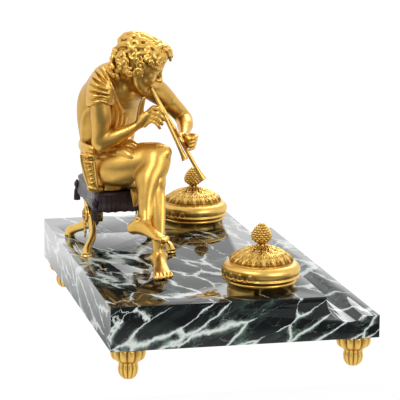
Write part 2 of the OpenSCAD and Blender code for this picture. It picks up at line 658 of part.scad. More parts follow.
module right_arm_form() {
  limb(right_upper_arm, side_dir = [1, 0, 0], sides = 10);
  limb(right_forearm, side_dir = [1, 0, 0], sides = 10);
  // Thumb, then four fingers that lie over the pipes
  bent_digit([-68.5, -7, 70], [-72, -9.5, 77.5], [-73, -15, 81], 2);
  for (i = [0 : 3]) bent_digit([-70, -13.5, 74] + [-1.3 * i, -0.3 * i, -2.5 * i], [-76, -18.5,
    74.5] + [-1 * i, -0.4 * i, -3 * i],
    [-79.1, -24, 71.5] + [-0.6 * i, -0.6 * i, -3.2 * i], 1.8);
}

module figure_right_arm() color(GILT) difference() {
  on_seat() right_arm_form();
  figure_tunic_envelope();
  pipe_envelope();
}

left_upper_arm = [[-38.5, -23, 89, 8.6, 8.4], [-36, -31, 80, 8.6, 8.2], [-33, -41, 69, 7.8, 7.6],
  [-30.5, -49.5, 60.5, 6.8, 6.8], [-29.5, -53, 56, 4.4, 4.4]];
left_forearm = [[-27, -52, 57, 4.5, 4.5], [-30.5, -51.5, 56.5, 6.6, 6.6], [-38.5, -50, 55, 7, 6.8],
  [-48.5, -47.5, 52.8, 6, 5.8],
  [-57.5, -45, 50.6, 4.6, 4.4], [-64.5, -43, 48.6, 4.6, 3.6], [-69.5, -44.4, 46.8, 5.4, 3.4], [-72.5,
    -46.4, 45.4, 5, 3]];

module left_arm_form() {
  limb(left_upper_arm, side_dir = [1, 0, 0], sides = 10);
  limb(left_forearm, side_dir = [0, 0, 1], sides = 10);
  bent_digit([-67.5, -41.4, 50.6], [-72.5, -38, 50], [-78.5, -39, 46.4], 1.9);
  for (i = [0 : 3]) bent_digit([-70, -47, 49.6] + [0, 0.4 * i, -2.4 * i], [-77.5, -50.4, 50.2] + [0,
    0.7 * i, -2.9 * i],
    [-82.5, -45.6, 49.6] + [0, 0.8 * i, -2.9 * i], 1.8);
}

module figure_left_arm() color(GILT) difference() {
  on_seat() left_arm_form();
  figure_tunic_envelope();
  pipe_envelope();
}

right_thigh = [[-31.5, 29, 19, 13, 14], [-37.5, 25, 20, 17, 17.5], [-49.5, 11.5, 22, 17, 17.2],
  [-60.5, -3, 25.6, 16.6, 15.6],
  [-68.5, -14, 30.6, 13.8, 13], [-74, -21, 32.6, 12.4, 12.4], [-78, -25.2, 32, 9.4, 10], [-79.9,
    -27.6, 31.4, 4, 5]];
right_shin = [[-71.5, -19, 38, 8, 8], [-74.5, -17.5, 32, 11.2, 11.2], [-78, -13.6, 25, 10.2, 10.6],
  [-81.5, -9.7, 17, 10, 10.4],
  [-85, -7.6, 8, 8.2, 9.2], [-88.5, -5.8, -1, 6.8, 7.8], [-92, -4.8, -9, 5.9, 6.6], [-95.5, -4, -16,
    5.6, 6.2], [-97.5, -3, -21.5, 5, 6]];
right_foot = [[-90.1, 7.6, -22.2, 2.6, 3.4], [-93, 5.4, -22.2, 4.8, 5.4], [-98, 1, -21.5, 5.2, 6.2],
  [-104.5, -3.6, -22.4, 5.6, 5.6], [-111.5, -8.4, -25, 6.2, 4],
  [-117.5, -12.4, -26.8, 6, 2.8]];

module right_leg_form() {
  limb(right_thigh, side_dir = [0, 0, 1], sides = 14);
  limb(right_shin, side_dir = [0, 1, 0], sides = 12);
  limb(right_foot, side_dir = [-0.58, 0.81, 0], sides = 10);
  for (i = [0 : 4]) let (y = 4.2 - 2.2 * i)
    bent_digit([-116.5, -12.2, -26.8] + y * [-0.58, 0.81, 0], [-120.5, -15, -26.6] + y * [-0.62, 0.86, 0],
      [-122.7, -16.8, -28.4] + y * [-0.62, 0.86, 0], i == 0 ? 2 : 1.5);
}

module figure_right_leg() color(GILT) difference() {
  on_seat() right_leg_form();
  figure_tunic_envelope();
  cushion_form();
}

left_thigh = [[-27.5, 2, 15, 13, 14], [-37.5, -1, 16, 15.5, 15.5], [-55.5, -8, 16, 14.4, 15], [-68.5,
  -13, 16, 12.4, 13],
  [-77.5, -16, 15.5, 10.6, 11.4], [-84, -17.4, 14, 6, 6.4]];
left_shin_top = [[-73.5, -16, 21, 7, 7], [-78.5, -16, 14, 9.6, 10.4], [-83.5, -15.6, 4, 8.6, 9.6],
  [-89.5, -15, -9, 7.4, 8.8]];
left_shin_foot = [[-95.5, -14.2, 34, 6.4, 7.4], [-99.9, -13.6, 23, 5.4, 5.8], [-102.5, -13.5, 14,
  5.4, 6], [-102, -13.5, 7, 6, 7.4]];
left_foot = [[-92.1, -14.6, 4.6, 3, 3.6], [-95.5, -14.3, 5.6, 5.2, 5.6], [-103.5, -13.8, 7.6, 6,
  7.4], [-111.5, -13, 6.4, 6.2, 6.6], [-119.5, -12.3, 4.4, 7, 5],
  [-126.5, -11.8, 2.8, 7.6, 3.8], [-131.5, -11.5, 2.2, 7.6, 3]];

module left_leg_form() {
  limb(left_thigh, side_dir = [0, 1, 0], sides = 14);
  limb([each left_shin_top, for (r = left_shin_foot) g(r)], side_dir = [0, 1, 0], sides = 12);
  limb([for (r = left_foot) g(r)], side_dir = [0, 1, 0], sides = 12);
  for (i = [0 : 4]) let (y = 6.2 - 3 * i, short = [0, 0.4, 1.2, 2.4, 4][i], r = i == 0 ? 2.4 : 1.8)
    bent_digit(g([-129.5, -11.5, 2.6]) + [0, y, 0], g([-135, -11.3, 2.8]) + [short * 0.6, y * 1.1, 0],
      g([-138.5, -11, 1.6]) + [short, y * 1.14, 0], r);
}

module figure_left_leg() color(GILT) difference() {
  on_seat() left_leg_form();
  figure_tunic_envelope();
  on_seat() right_leg_form();
  cushion_form();
  translate([-slab_l, -slab_w, foot_h]) cube([2 * slab_l, 2 * slab_w, slab_t]);
  translate([sole_screw[0], sole_screw[1], top_z - 1]) cylinder(h = screw_bite + 1.2,
    r = screw_r + 0.1, $fn = 24);
}

module figure_foot_screw() slab_screw(sole_screw, screw_bite);

// The tunic's back hem: an ornamented strip that narrows and ends in a tab on the cushion's edge
tail_rows = [[-56, 38.5, 33, 6.5, 1.8], [-56.5, 37.6, 26, 7.2, 1.8], [-55.7, 36.4, 18, 5.8, 1.7],
  [-52.7, 34.4, 10, 4.6, 1.7], [-48.5, 32.2, 4, 3.8, 1.8], [-45, 30, 0.5, 4.4, 2]];

module tail_form() {
  limb(tail_rows, side_dir = [0.35, 0.93, 0], sides = 8);
}

module tunic_tail() color(GILT) difference() {
  on_seat() tail_form();
  figure_tunic_envelope();
  on_seat() right_leg_form();
  cushion_form();
}

// The fold of the tunic that falls over the cushion's near edge, in a point. Its rows are measured
// from that edge
fold_rows = [[5, -10, 1.4, 2.6, 9], [-0.3, -9.5, 0.2, 2.3, 9.2], [-2.4, -8.5, -4, 1.7, 8.6],
  [-2.5, -6.5, -9, 1.4, 5.6], [-2.2, -4.5, -13, 1, 1.6]];

module fold_form() translate([-seat_l / (2 * sitter_k), 0, 0]) limb(fold_rows, side_dir = [1, 0,
  0.3], sides = 8);

module tunic_front_fold() color(GILT) difference() {
  on_seat() fold_form();
  figure_tunic_envelope();
  on_seat() {
    right_leg_form();
    left_leg_form();
  }
  cushion_form();
}

// ---- Double pipe ----

long_pipe_ends = [[-68.5, -13.6, 92.4], [-75.5, -57.8, 12.9]];
short_pipe_ends = [[-71.3, -13.6, 92], [-78.5, -41.4, 31.5]];

// A tube that widens a little, with a bell at its far end, which is open unless the tube is used to
// cut with
module pipe(ends, gap) {
  l = norm(ends[1] - ends[0]);
  along = unit(ends[1] - ends[0]);
  side = unit(cross([1, 0, 0], along));
  depth = cross(along, side);
  r = pipe_r + gap;
  translate(ends[0]) multmatrix([for (i = [0 : 2]) [side[i], depth[i], along[i], 0]])
    rotate_extrude($fn = 24) polygon([[0, 0], [r * 0.8, 0], [r, l * 0.25], [r, l * 0.42], [r * 1.25,
      l * 0.44], [r * 1.25, l * 0.46],
      [r * 1.05, l * 0.48], [r * 1.2, l * 0.86], [pipe_bell_r + gap, l],
        [gap > 0 ? 0 : pipe_bell_r - 0.6, l],
      [0, l - (gap > 0 ? 0 : 6)]]);
}

pipe_gap = 0.01;

module pipe_envelope() on_seat() {
  pipe(long_pipe_ends, pipe_gap);
  pipe(short_pipe_ends, pipe_gap);
}

module long_pipe() color(GILT) on_seat() pipe(long_pipe_ends, 0);
module short_pipe() color(GILT) on_seat() pipe(short_pipe_ends, 0);

// ---- Nodes ----

marble_slab();
foot_front_left();
foot_front_right();
foot_back_left();
foot_back_right();
foot_studs();
left_well_collar();
right_well_collar();
left_inkpot();
right_inkpot();
left_lid();
right_lid();
left_finial();
right_finial();
left_finial_nut();
right_finial_nut();
left_hinge_pin();
right_hinge_pin();
stool_cushion();
cushion_tassels();
stool_leg_back_left();
stool_leg_back_right();
stool_leg_front_left();
stool_leg_front_right();
stool_hub_back();
stool_hub_front();
stool_hub_nuts();
stool_foot_screws();
seat_bolt();
seat_washer();
figure_tunic();
figure_head();
figure_right_arm();
figure_left_arm();
figure_right_leg();
figure_left_leg();
figure_foot_screw();
tunic_tail();
tunic_front_fold();
long_pipe();
short_pipe();
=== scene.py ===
"""A desk inkstand: a marble slab on gilt feet, with two lidded inkwells and a gilt bronze piper on a
stool."""
import copy
import math

import bmesh
import bpy
import numpy as np
import openvdb
from mathutils import Matrix, Vector


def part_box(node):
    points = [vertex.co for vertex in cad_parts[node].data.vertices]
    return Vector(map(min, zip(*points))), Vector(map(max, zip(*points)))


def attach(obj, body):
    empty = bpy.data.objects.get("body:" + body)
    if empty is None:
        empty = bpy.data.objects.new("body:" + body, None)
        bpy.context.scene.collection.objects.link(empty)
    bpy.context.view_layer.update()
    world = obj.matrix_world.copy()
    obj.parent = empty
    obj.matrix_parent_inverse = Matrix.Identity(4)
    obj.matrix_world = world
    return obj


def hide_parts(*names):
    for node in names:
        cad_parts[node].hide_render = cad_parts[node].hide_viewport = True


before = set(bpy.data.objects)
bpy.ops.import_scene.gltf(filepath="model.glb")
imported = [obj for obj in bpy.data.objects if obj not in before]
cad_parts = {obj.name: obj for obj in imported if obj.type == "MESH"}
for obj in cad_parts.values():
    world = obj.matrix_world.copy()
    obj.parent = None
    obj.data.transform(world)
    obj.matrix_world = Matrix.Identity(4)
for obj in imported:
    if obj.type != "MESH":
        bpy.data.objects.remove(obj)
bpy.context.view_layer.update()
MM = 0.001

# ---- Camera ----
# The view looks along the slab from the end near the left well, a little from behind and from above, with a
# long lens.
VIEW_AZIMUTH, VIEW_ELEVATION, VIEW_ROLL = -103.449, 11.772, 0.548
VIEW_PLACE = (-1636.1, 391.3, 459.9)
LENS, SENSOR = 179.32, 36.0

azimuth, elevation = math.radians(VIEW_AZIMUTH), math.radians(VIEW_ELEVATION)
ahead = Vector((-math.sin(azimuth) * math.cos(elevation), math.cos(azimuth) * math.cos(elevation),
    -math.sin(elevation)))
right = Vector((math.cos(azimuth), math.sin(azimuth), 0))
turn = Matrix((right, right.cross(ahead), -ahead)).transposed().to_4x4()
camera = bpy.data.objects.new("camera", bpy.data.cameras.new("camera"))
camera.data.lens = LENS
camera.data.sensor_width = SENSOR
camera.data.clip_end = 50
camera.matrix_world = Matrix.Translation(Vector(VIEW_PLACE)
    * MM) @ turn @ Matrix.Rotation(math.radians(VIEW_ROLL), 4, "Z")
bpy.context.scene.collection.objects.link(camera)
bpy.context.scene.camera = camera
bpy.context.scene.view_settings.view_transform = "Standard"


# ---- Studio ----
# A pale floor and white surroundings, which the polished stone and the gilding mirror, with soft boxes
# around them.
def linear(code):
    """The sRGB hex colour as linear red, green, blue and alpha."""
    shares = np.array([int(code[i:i + 2], 16) / 255 for i in (1, 3, 5)])
    return (*np.where(shares <= 0.04045, shares / 12.92, ((shares + 0.055) / 1.055) ** 2.4), 1.0)


def add(tree, kind, inputs=None, **settings):
    """A new node. Each of its inputs takes a value, or the output that it is linked to."""
    made = tree.nodes.new(kind)
    for name, value in settings.items():
        setattr(made, name, value)
    for name, value in (inputs or {}).items():
        if isinstance(value, bpy.types.NodeSocket):
            tree.links.new(value, made.inputs[name])
        else:
            made.inputs[name].default_value = value
    return made


def seen_white(tree, lit, white_share, mirrored):
    """The lit shader, mixed by that share with white for the camera's rays, and with the grey mirrored for
    gloss's."""
    path = add(tree, "ShaderNodeLightPath")
    camera_ray, gloss_ray = path.outputs["Is Camera Ray"], path.outputs["Is Glossy Ray"]
    seen = add(tree, "ShaderNodeMath", {0: camera_ray, 1: gloss_ray}, operation="MAXIMUM")
    share = add(tree, "ShaderNodeMath", {0: seen.outputs[0], 1: white_share}, operation="MULTIPLY")
    grey = add(tree, "ShaderNodeMath", {0: camera_ray, 1: mirrored}, operation="MAXIMUM")
    kind = "ShaderNodeBackground" if lit.type == "BACKGROUND" else "ShaderNodeEmission"
    white = add(tree, kind, {"Color": grey.outputs[0]})
    return add(tree, "ShaderNodeMixShader", {0: share.outputs[0], 1: lit.outputs[0], 2: white.outputs[0]})


world = bpy.data.worlds.new("white studio")
world.use_nodes = True
world.node_tree.nodes.clear()
ROOM_LIGHT, PALE_WALL, DARK_WALL = 0.55, 1.1, 0.58
ambient = add(world.node_tree, "ShaderNodeBackground", {"Color": linear("#F4F6FA"), "Strength": ROOM_LIGHT})
# The room is dark behind the camera, which gives the gilding its deep tones
way = add(world.node_tree, "ShaderNodeTexCoord").outputs["Generated"]
to_camera = Vector(VIEW_PLACE).normalized()
facing = add(world.node_tree, "ShaderNodeVectorMath", {0: way, 1: to_camera},
    operation="DOT_PRODUCT").outputs["Value"]
room = add(world.node_tree, "ShaderNodeMapRange", {"Value": facing, "From Min": 0.3, "From Max": 0.92,
    "To Min": PALE_WALL, "To Max": DARK_WALL})
mixed = seen_white(world.node_tree, ambient, 1.0, room.outputs[0])
add(world.node_tree, "ShaderNodeOutputWorld", {"Surface": mixed.outputs[0]})
bpy.context.scene.world = world

FLOOR_HALF = 9.0
SHADE_FROM, SHADE_TO = -0.3, -0.19
floor = bpy.data.objects.new("floor", bpy.data.meshes.new("floor"))
corners = [(-FLOOR_HALF, -FLOOR_HALF, 0), (FLOOR_HALF, -FLOOR_HALF, 0), (FLOOR_HALF, FLOOR_HALF, 0),
    (-FLOOR_HALF, FLOOR_HALF, 0)]
floor.data.from_pydata(corners, [], [(0, 1, 2, 3)])
paper = bpy.data.materials.new("white paper")
paper.use_nodes = True
paper.node_tree.nodes.clear()
matt = add(paper.node_tree, "ShaderNodeBsdfDiffuse", {"Color": linear("#F2F2F0")})
near_end = add(paper.node_tree, "ShaderNodeSeparateXYZ",
    {0: add(paper.node_tree, "ShaderNodeNewGeometry").outputs["Position"]})
shade = add(paper.node_tree, "ShaderNodeMapRange",
    {"Value": near_end.outputs[0], "From Min": SHADE_FROM, "From Max": SHADE_TO,
    "To Min": 0.12, "To Max": 1.1})
mixed = seen_white(paper.node_tree, matt, 0.93, shade.outputs[0])
add(paper.node_tree, "ShaderNodeOutputMaterial", {"Surface": mixed.outputs[0]})
floor.data.materials.append(paper)
bpy.context.scene.collection.objects.link(floor)

# Each box: its place, its two sides and its power. All look at the figure's chest.
SOFT_BOXES = {
    "key": ((-0.9, 0.9, 1.3), (0.7, 0.7), 11),
    "fill": ((-1.3, -0.7, 0.7), (0.9, 0.9), 7),
    "back": ((0.9, -0.6, 1.1), (0.6, 0.9), 8),
}
AIM = Vector((0.0, 0.03, 0.13))
for name, (place, (wide, high), power) in SOFT_BOXES.items():
    lamp = bpy.data.objects.new(name, bpy.data.lights.new(name, "AREA"))
    lamp.data.shape = "RECTANGLE"
    lamp.data.size, lamp.data.size_y = wide, high
    lamp.data.energy = power
    lamp.location = place
    lamp.rotation_euler = (Vector(place) - AIM).to_track_quat("Z", "Y").to_euler()
    bpy.context.scene.collection.objects.link(lamp)


# ---- Marble slab ----
# One sawn and polished block of green-black marble, with a round-bottomed pen groove milled along its front
# edge. Its sawn edges are only just broken, and blind bores take the inkpots, the studs of the feet and the
# screws.
EDGE_BREAK = 0.5 * MM
SLAB_TOP = 62.0
# The beds of the stone rise towards the front. BED is how long, broad and thick a block between the seams is.
VEIN_TILT, VEIN_TURN = math.radians(-33), 0.3
BED = (90 * MM, 62 * MM, 16 * MM)
VEIN_W, HALO_W, HAIRLINE_W = 0.12, 0.26, 0.02


def polished_marble():
    """Serpentine marble: near-black green, with drawn-out white and pale green veins, hairlines and cloudy
    patches.

    A polish leaves it as smooth as glass, so at low angles it mirrors what stands on it.
    """
    stone = bpy.data.materials.new("polished green marble")
    stone.use_nodes = True
    tree = stone.node_tree
    tree.nodes.clear()
    place = add(tree, "ShaderNodeTexCoord").outputs["Object"]
    # Measured in blocks along the beds, and bent a little
    beds = add(tree, "ShaderNodeMapping", {"Vector": place, "Rotation": (VEIN_TILT, 0.0, VEIN_TURN),
        "Scale": BED}, vector_type="TEXTURE")
    bend = add(tree, "ShaderNodeTexNoise", {"Vector": place, "Scale": 38.0, "Detail": 6.0, "Roughness": 0.62})
    bent = add(tree, "ShaderNodeVectorMath", {0: bend.outputs["Color"], 1: (0.6, 0.6, 0.6),
        2: beds.outputs[0]}, operation="MULTIPLY_ADD")

    def share(source, low, high, ends=(0.0, 1.0)):
        """The source between low and high as a smooth share from one end to the other."""
        limits = {"From Min": low, "From Max": high, "To Min": ends[0], "To Max": ends[1]}
        return add(tree, "ShaderNodeMapRange", {"Value": source, **limits},
            interpolation_type="SMOOTHSTEP").outputs[0]

    def noise(scale, detail, source=place):
        """Clouds with that many to the metre, or to the block of the bent beds."""
        return add(tree, "ShaderNodeTexNoise", {"Vector": source, "Scale": scale, "Detail": detail,
            "Roughness": 0.6}).outputs["Fac"]

    def veins(scale, widest, where):
        """1 in the seams between the cells that the stone broke into. where, from 0 to 1, says how wide a
        seam is."""
        apart = add(tree, "ShaderNodeTexVoronoi", {"Vector": bent.outputs[0], "Scale": scale},
            feature="DISTANCE_TO_EDGE").outputs[0]
        width = add(tree, "ShaderNodeMath", {0: where, 1: widest, 2: 0.0006},
            operation="MULTIPLY_ADD").outputs[0]
        return share(apart, 0.0, width, (1.0, 0.0))

    def times(a, b):
        """The product of two shares."""
        return add(tree, "ShaderNodeMath", {0: a, 1: b}, operation="MULTIPLY").outputs[0]

    def over(under, top, factor):
        """The colour under, covered by the colour top by that factor."""
        return add(tree, "ShaderNodeMix", {"Factor": factor, 6: under, 7: top}, data_type="RGBA").outputs[2]

    cloud = noise(1.6, 9.0, bent.outputs[0])
    strong = share(noise(24.0, 3.0), 0.34, 0.64)
    greenish = share(noise(13.0, 2.0), 0.5, 0.6)
    ground = over(linear("#0B0E10"), linear("#232E2A"), share(cloud, 0.44, 0.7))
    colour = over(ground, linear("#5C7165"), times(share(cloud, 0.5, 0.66),
        times(greenish, share(noise(160.0, 4.0), 0.35, 0.6))))
    colour = over(colour, linear("#7B8982"),
        times(veins(2.3, HAIRLINE_W, strong), share(noise(50.0, 2.0), 0.46, 0.56)))
    halo = times(veins(1.0, HALO_W, strong), share(noise(120.0, 5.0), 0.4, 0.62, (0.0, 0.8)))
    colour = over(colour, over(linear("#7F8D88"), linear("#6F8A79"), greenish), halo)
    colour = over(colour, linear("#D3DAD4"), veins(1.0, VEIN_W, strong))
    shader = add(tree, "ShaderNodeBsdfPrincipled", {"Base Color": colour, "Roughness": 0.03, "IOR": 1.47})
    add(tree, "ShaderNodeOutputMaterial", {"Surface": shader.outputs[0]})
    return stone


def merged_copy(name, source):
    """The CAD node's own mesh in a new object, with its loose triangles merged."""
    build = bmesh.new()
    build.from_mesh(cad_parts[source].data)
    bmesh.ops.remove_doubles(build, verts=build.verts, dist=1e-6)
    bmesh.ops.dissolve_limit(build, angle_limit=math.radians(0.5), verts=build.verts, edges=build.edges)
    mesh = bpy.data.meshes.new(name)
    build.to_mesh(mesh)
    build.free()
    made = bpy.data.objects.new(name, mesh)
    bpy.context.scene.collection.objects.link(made)
    return made


def place_piece(made, material, body="base", replaces=()):
    """Gives a finished object its material and smooth shading, hangs it from its body, and hides the CAD
    nodes that it stands for.
    """
    made.data.materials.clear()
    made.data.materials.append(material)
    made.data.shade_smooth()
    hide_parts(*replaces)
    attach(made, body)
    return made


slab = merged_copy("veined_slab", "marble_slab")
edges = slab.modifiers.new("broken edges", "BEVEL")
edges.width, edges.segments = EDGE_BREAK, 2
edges.limit_method, edges.angle_limit = "ANGLE", math.radians(40)
edges.harden_normals = True
place_piece(slab, polished_marble(), replaces=["marble_slab"])


# ---- Inkwell collars ----
# Each well has a turned and gilt collar that stands on the marble, with a bead that the lid closes down to.
# Its outline is the construction's own, and its hinge barrels stand behind it.
def gilt_bronze(name, raised="#E4BA62", hollow_shade="#8F6422", smooth=0.3, matt=0.5):
    """Fire-gilt bronze. The gold is burnished where a cloth reaches it, and stays matt in the hollows, where
    its colour is painted a darker orange as shade.

    The "hollow" attribute of a piece is 0 on its raised parts and 1 in its folds; a piece without one is all
    raised.
    """
    gold = bpy.data.materials.new(name)
    gold.use_nodes = True
    tree = gold.node_tree
    tree.nodes.clear()
    place = add(tree, "ShaderNodeTexCoord").outputs["Object"]
    hollow = add(tree, "ShaderNodeAttribute", attribute_name="hollow").outputs["Fac"]
    mottle = add(tree, "ShaderNodeTexNoise", {"Vector": place, "Scale": 140.0, "Detail": 4.0}).outputs["Fac"]
    spread = add(tree, "ShaderNodeMapRange", {"Value": mottle, "From Min": 0.3, "From Max": 0.7,
        "To Min": -0.12, "To Max": 0.12}).outputs[0]
    depth = add(tree, "ShaderNodeMath", {0: hollow, 1: spread}, operation="ADD", use_clamp=True).outputs[0]
    # Painted shade: the colour runs from raised to hollow_shade with the depth in a hollow, shifted a little
    # at random by the mottle
    colour = add(tree, "ShaderNodeMix", {"Factor": depth, 6: linear(raised), 7: linear(hollow_shade)},
        data_type="RGBA").outputs[2]
    rough = add(tree, "ShaderNodeMapRange", {"Value": depth, "To Min": smooth, "To Max": matt}).outputs[0]
    # Chasing tools leave the surface faintly uneven, about every half millimetre
    tooled = add(tree, "ShaderNodeTexNoise", {"Vector": place, "Scale": 900.0, "Detail": 3.0}).outputs["Fac"]
    bump = add(tree, "ShaderNodeBump", {"Height": tooled, "Strength": 0.12, "Distance": 0.0004}).outputs[0]
    shader = add(tree, "ShaderNodeBsdfPrincipled",
        {"Base Color": colour, "Metallic": 1.0, "Roughness": rough, "Normal": bump})
    add(tree, "ShaderNodeOutputMaterial", {"Surface": shader.outputs[0]})
    return gold


def revolved(profile, columns):
    """A grid of points in millimetres: each radius and height of the profile, turned about the Z axis."""
    turns = np.linspace(0, 2 * np.pi, columns, endpoint=False)
    radius, height = profile[:, :1], profile[:, 1:]
    return np.stack([radius * np.cos(turns), radius * np.sin(turns), height + 0 * turns], -1)


def closed(grid):
    """Points and faces of a grid that closes across its columns, with a fan over its first and last row."""
    rows, columns = grid.shape[:2]
    points = np.vstack([grid.reshape(-1, 3), grid[0].mean(0), grid[-1].mean(0)])
    here = np.arange(rows * columns).reshape(rows, columns)
    beside = np.roll(here, -1, 1)
    walls = np.stack([here[:-1], beside[:-1], beside[1:], here[1:]], -1).reshape(-1, 4)
    low = np.stack([beside[0], here[0], np.full(columns, rows * columns)], -1)
    high = np.stack([here[-1], beside[-1], np.full(columns, rows * columns + 1)], -1)
    return points, walls.tolist() + low.tolist() + high.tolist()


def cast(name, shapes, hollow=None):
    """One object from the shapes' points, in millimetres, and faces. Its normals face outwards."""
    points, faces, count = [], [], 0
    for shape_points, shape_faces in shapes:
        points.append(shape_points)
        faces += [[count + k for k in face] for face in shape_faces]
        count += len(shape_points)
    mesh = bpy.data.meshes.new(name)
    mesh.from_pydata(np.vstack(points) * MM, [], faces)
    if hollow is not None:
        mesh.attributes.new("hollow", "FLOAT", "POINT").data.foreach_set("value", hollow.astype(np.float32))
    build = bmesh.new()
    build.from_mesh(mesh)
    bmesh.ops.remove_doubles(build, verts=build.verts, dist=1e-7)
    bmesh.ops.recalc_face_normals(build, faces=build.faces)
    build.to_mesh(mesh)
    build.free()
    made = bpy.data.objects.new(name, mesh)
    bpy.context.scene.collection.objects.link(made)
    return made


def curve_through(points, steps):
    """Points on a smooth curve through the given ones (Catmull-Rom), with that many steps to each."""
    points = np.asarray(points, float)
    padded = np.vstack([points[:1], points, points[-1:]])
    t = np.linspace(0, 1, steps, endpoint=False)[:, None]
    runs = [0.5 * (2 * b + (c - a) * t + (2 * a - 5 * b + 4 * c - d) * t ** 2 + (3 * b - a - 3 * c + d)
        * t ** 3)
            for a, b, c, d in zip(padded, padded[1:], padded[2:], padded[3:])]
    return np.vstack(runs + [points[-1:]])


# Both are painted darker in their hollows, as shade
TURNED_GILT = gilt_bronze("burnished gilt bronze, turned")
CHASED_GILT = gilt_bronze("chased gilt bronze", raised="#E6BD66", hollow_shade="#7F5518", smooth=0.3)
for side in ("left", "right"):
    collar = merged_copy(side + "_collar", side + "_well_collar")
    place_piece(collar, TURNED_GILT, replaces=[side + "_well_collar"])
    collar.data.set_sharp_from_angle(angle=math.radians(35))

# ---- Inkpots and their lids' hidden fixings ----
# Glazed white pots hang in the collars. A hexagon nut under each lid holds its finial, and a steel pin its
# hinge.


def glazed_ware():
    """White glazed earthenware: a smooth coat of glass over a warm white body."""
    ware = bpy.data.materials.new("white glazed earthenware")
    ware.use_nodes = True
    tree = ware.node_tree
    shader = tree.nodes["Principled BSDF"]
    place = add(tree, "ShaderNodeTexCoord").outputs["Object"]
    pooled = add(tree, "ShaderNodeTexNoise", {"Vector": place, "Scale": 60.0, "Detail": 2.0}).outputs["Fac"]
    colour = add(tree, "ShaderNodeMix", {"Factor": pooled, 6: linear("#EFEBDF"), 7: linear("#E2DDCC")},
        data_type="RGBA")
    tree.links.new(colour.outputs[2], shader.inputs["Base Color"])
    shader.inputs["Roughness"].default_value = 0.12
    return ware


def plain_steel():
    """Bright drawn steel, with fine scratches along the wire."""
    steel = bpy.data.materials.new("drawn steel")
    steel.use_nodes = True
    tree = steel.node_tree
    shader = tree.nodes["Principled BSDF"]
    place = add(tree, "ShaderNodeTexCoord").outputs["Object"]
    drawn = add(tree, "ShaderNodeTexNoise", {"Vector": place, "Scale": 700.0, "Detail": 2.0}).outputs["Fac"]
    rough = add(tree, "ShaderNodeMapRange", {"Value": drawn, "To Min": 0.28, "To Max": 0.45}).outputs[0]
    tree.links.new(rough, shader.inputs["Roughness"])
    shader.inputs["Base Color"].default_value = linear("#A9A7A2")
    shader.inputs["Metallic"].default_value = 1.0
    return steel


def refinish(material, *names):
    """CAD nodes whose own shape is right get their finish."""
    for name in names:
        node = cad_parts[name]
        node.data.materials.clear()
        node.data.materials.append(material)


refinish(glazed_ware(), "left_inkpot", "right_inkpot")
refinish(TURNED_GILT, "left_finial_nut", "right_finial_nut", "stool_hub_nuts")
refinish(plain_steel(), "left_hinge_pin", "right_hinge_pin", "foot_studs", "stool_foot_screws", "seat_bolt",
    "seat_washer", "figure_foot_screw")

# ---- Lids ----
# Cast, turned and chased: a rolled rim, a broad round shoulder, and a raised disc and low dome covered in
# foliage. The rim carries a spray of leaves on both sides of the hinge.
LID_R, LID_DISC_R, LID_SHOULDER, CROWN_PAD_R = 31.8, 25.7, 20.7, 4.2
HINGE_REACH, HINGE_TOP, HINGE_NOTCH_Y = 6.3, 11.2, 28.7
KNUCKLE_L, KNUCKLE_R, PIN_Y, PIN_Z = 5.0, 1.4, 30.4, 8.95
# How much painted shade the plain parts get, on the scale of a piece's hollows
PLAIN = 0.3
LEAVES_OUTER, LEAVES_INNER, LEAF_RELIEF, LEAF_RUN = 18, 11, 1.25, 27.0


def leaf_height(across, along, lobes):
    """Height from 0 to 1 of a lobed leaf. across runs from -1 to 1 over its pitch, and along from its stem
    to its tip.

    The leaf's outline swells and is notched by its lobes; its face is hollowed by a midrib and raised by
    side veins.
    """
    notch = 0.74 + 0.26 * np.cos(2 * np.pi * lobes * along + 1.6 * np.abs(across))
    half = np.clip(np.sin(np.pi * np.clip(along, 0, 1) ** 0.72), 0, 1) ** 0.6 * notch + 1e-6
    body = np.sqrt(np.clip(1 - (across / half) ** 2, 0, 1))
    rib = np.exp(-(across / 0.07) ** 2)
    veins = 0.5 + 0.5 * np.cos(2 * np.pi * (lobes * along - 1.3 * np.abs(across)))
    return body * (0.72 + 0.28 * veins) - 0.45 * rib * body


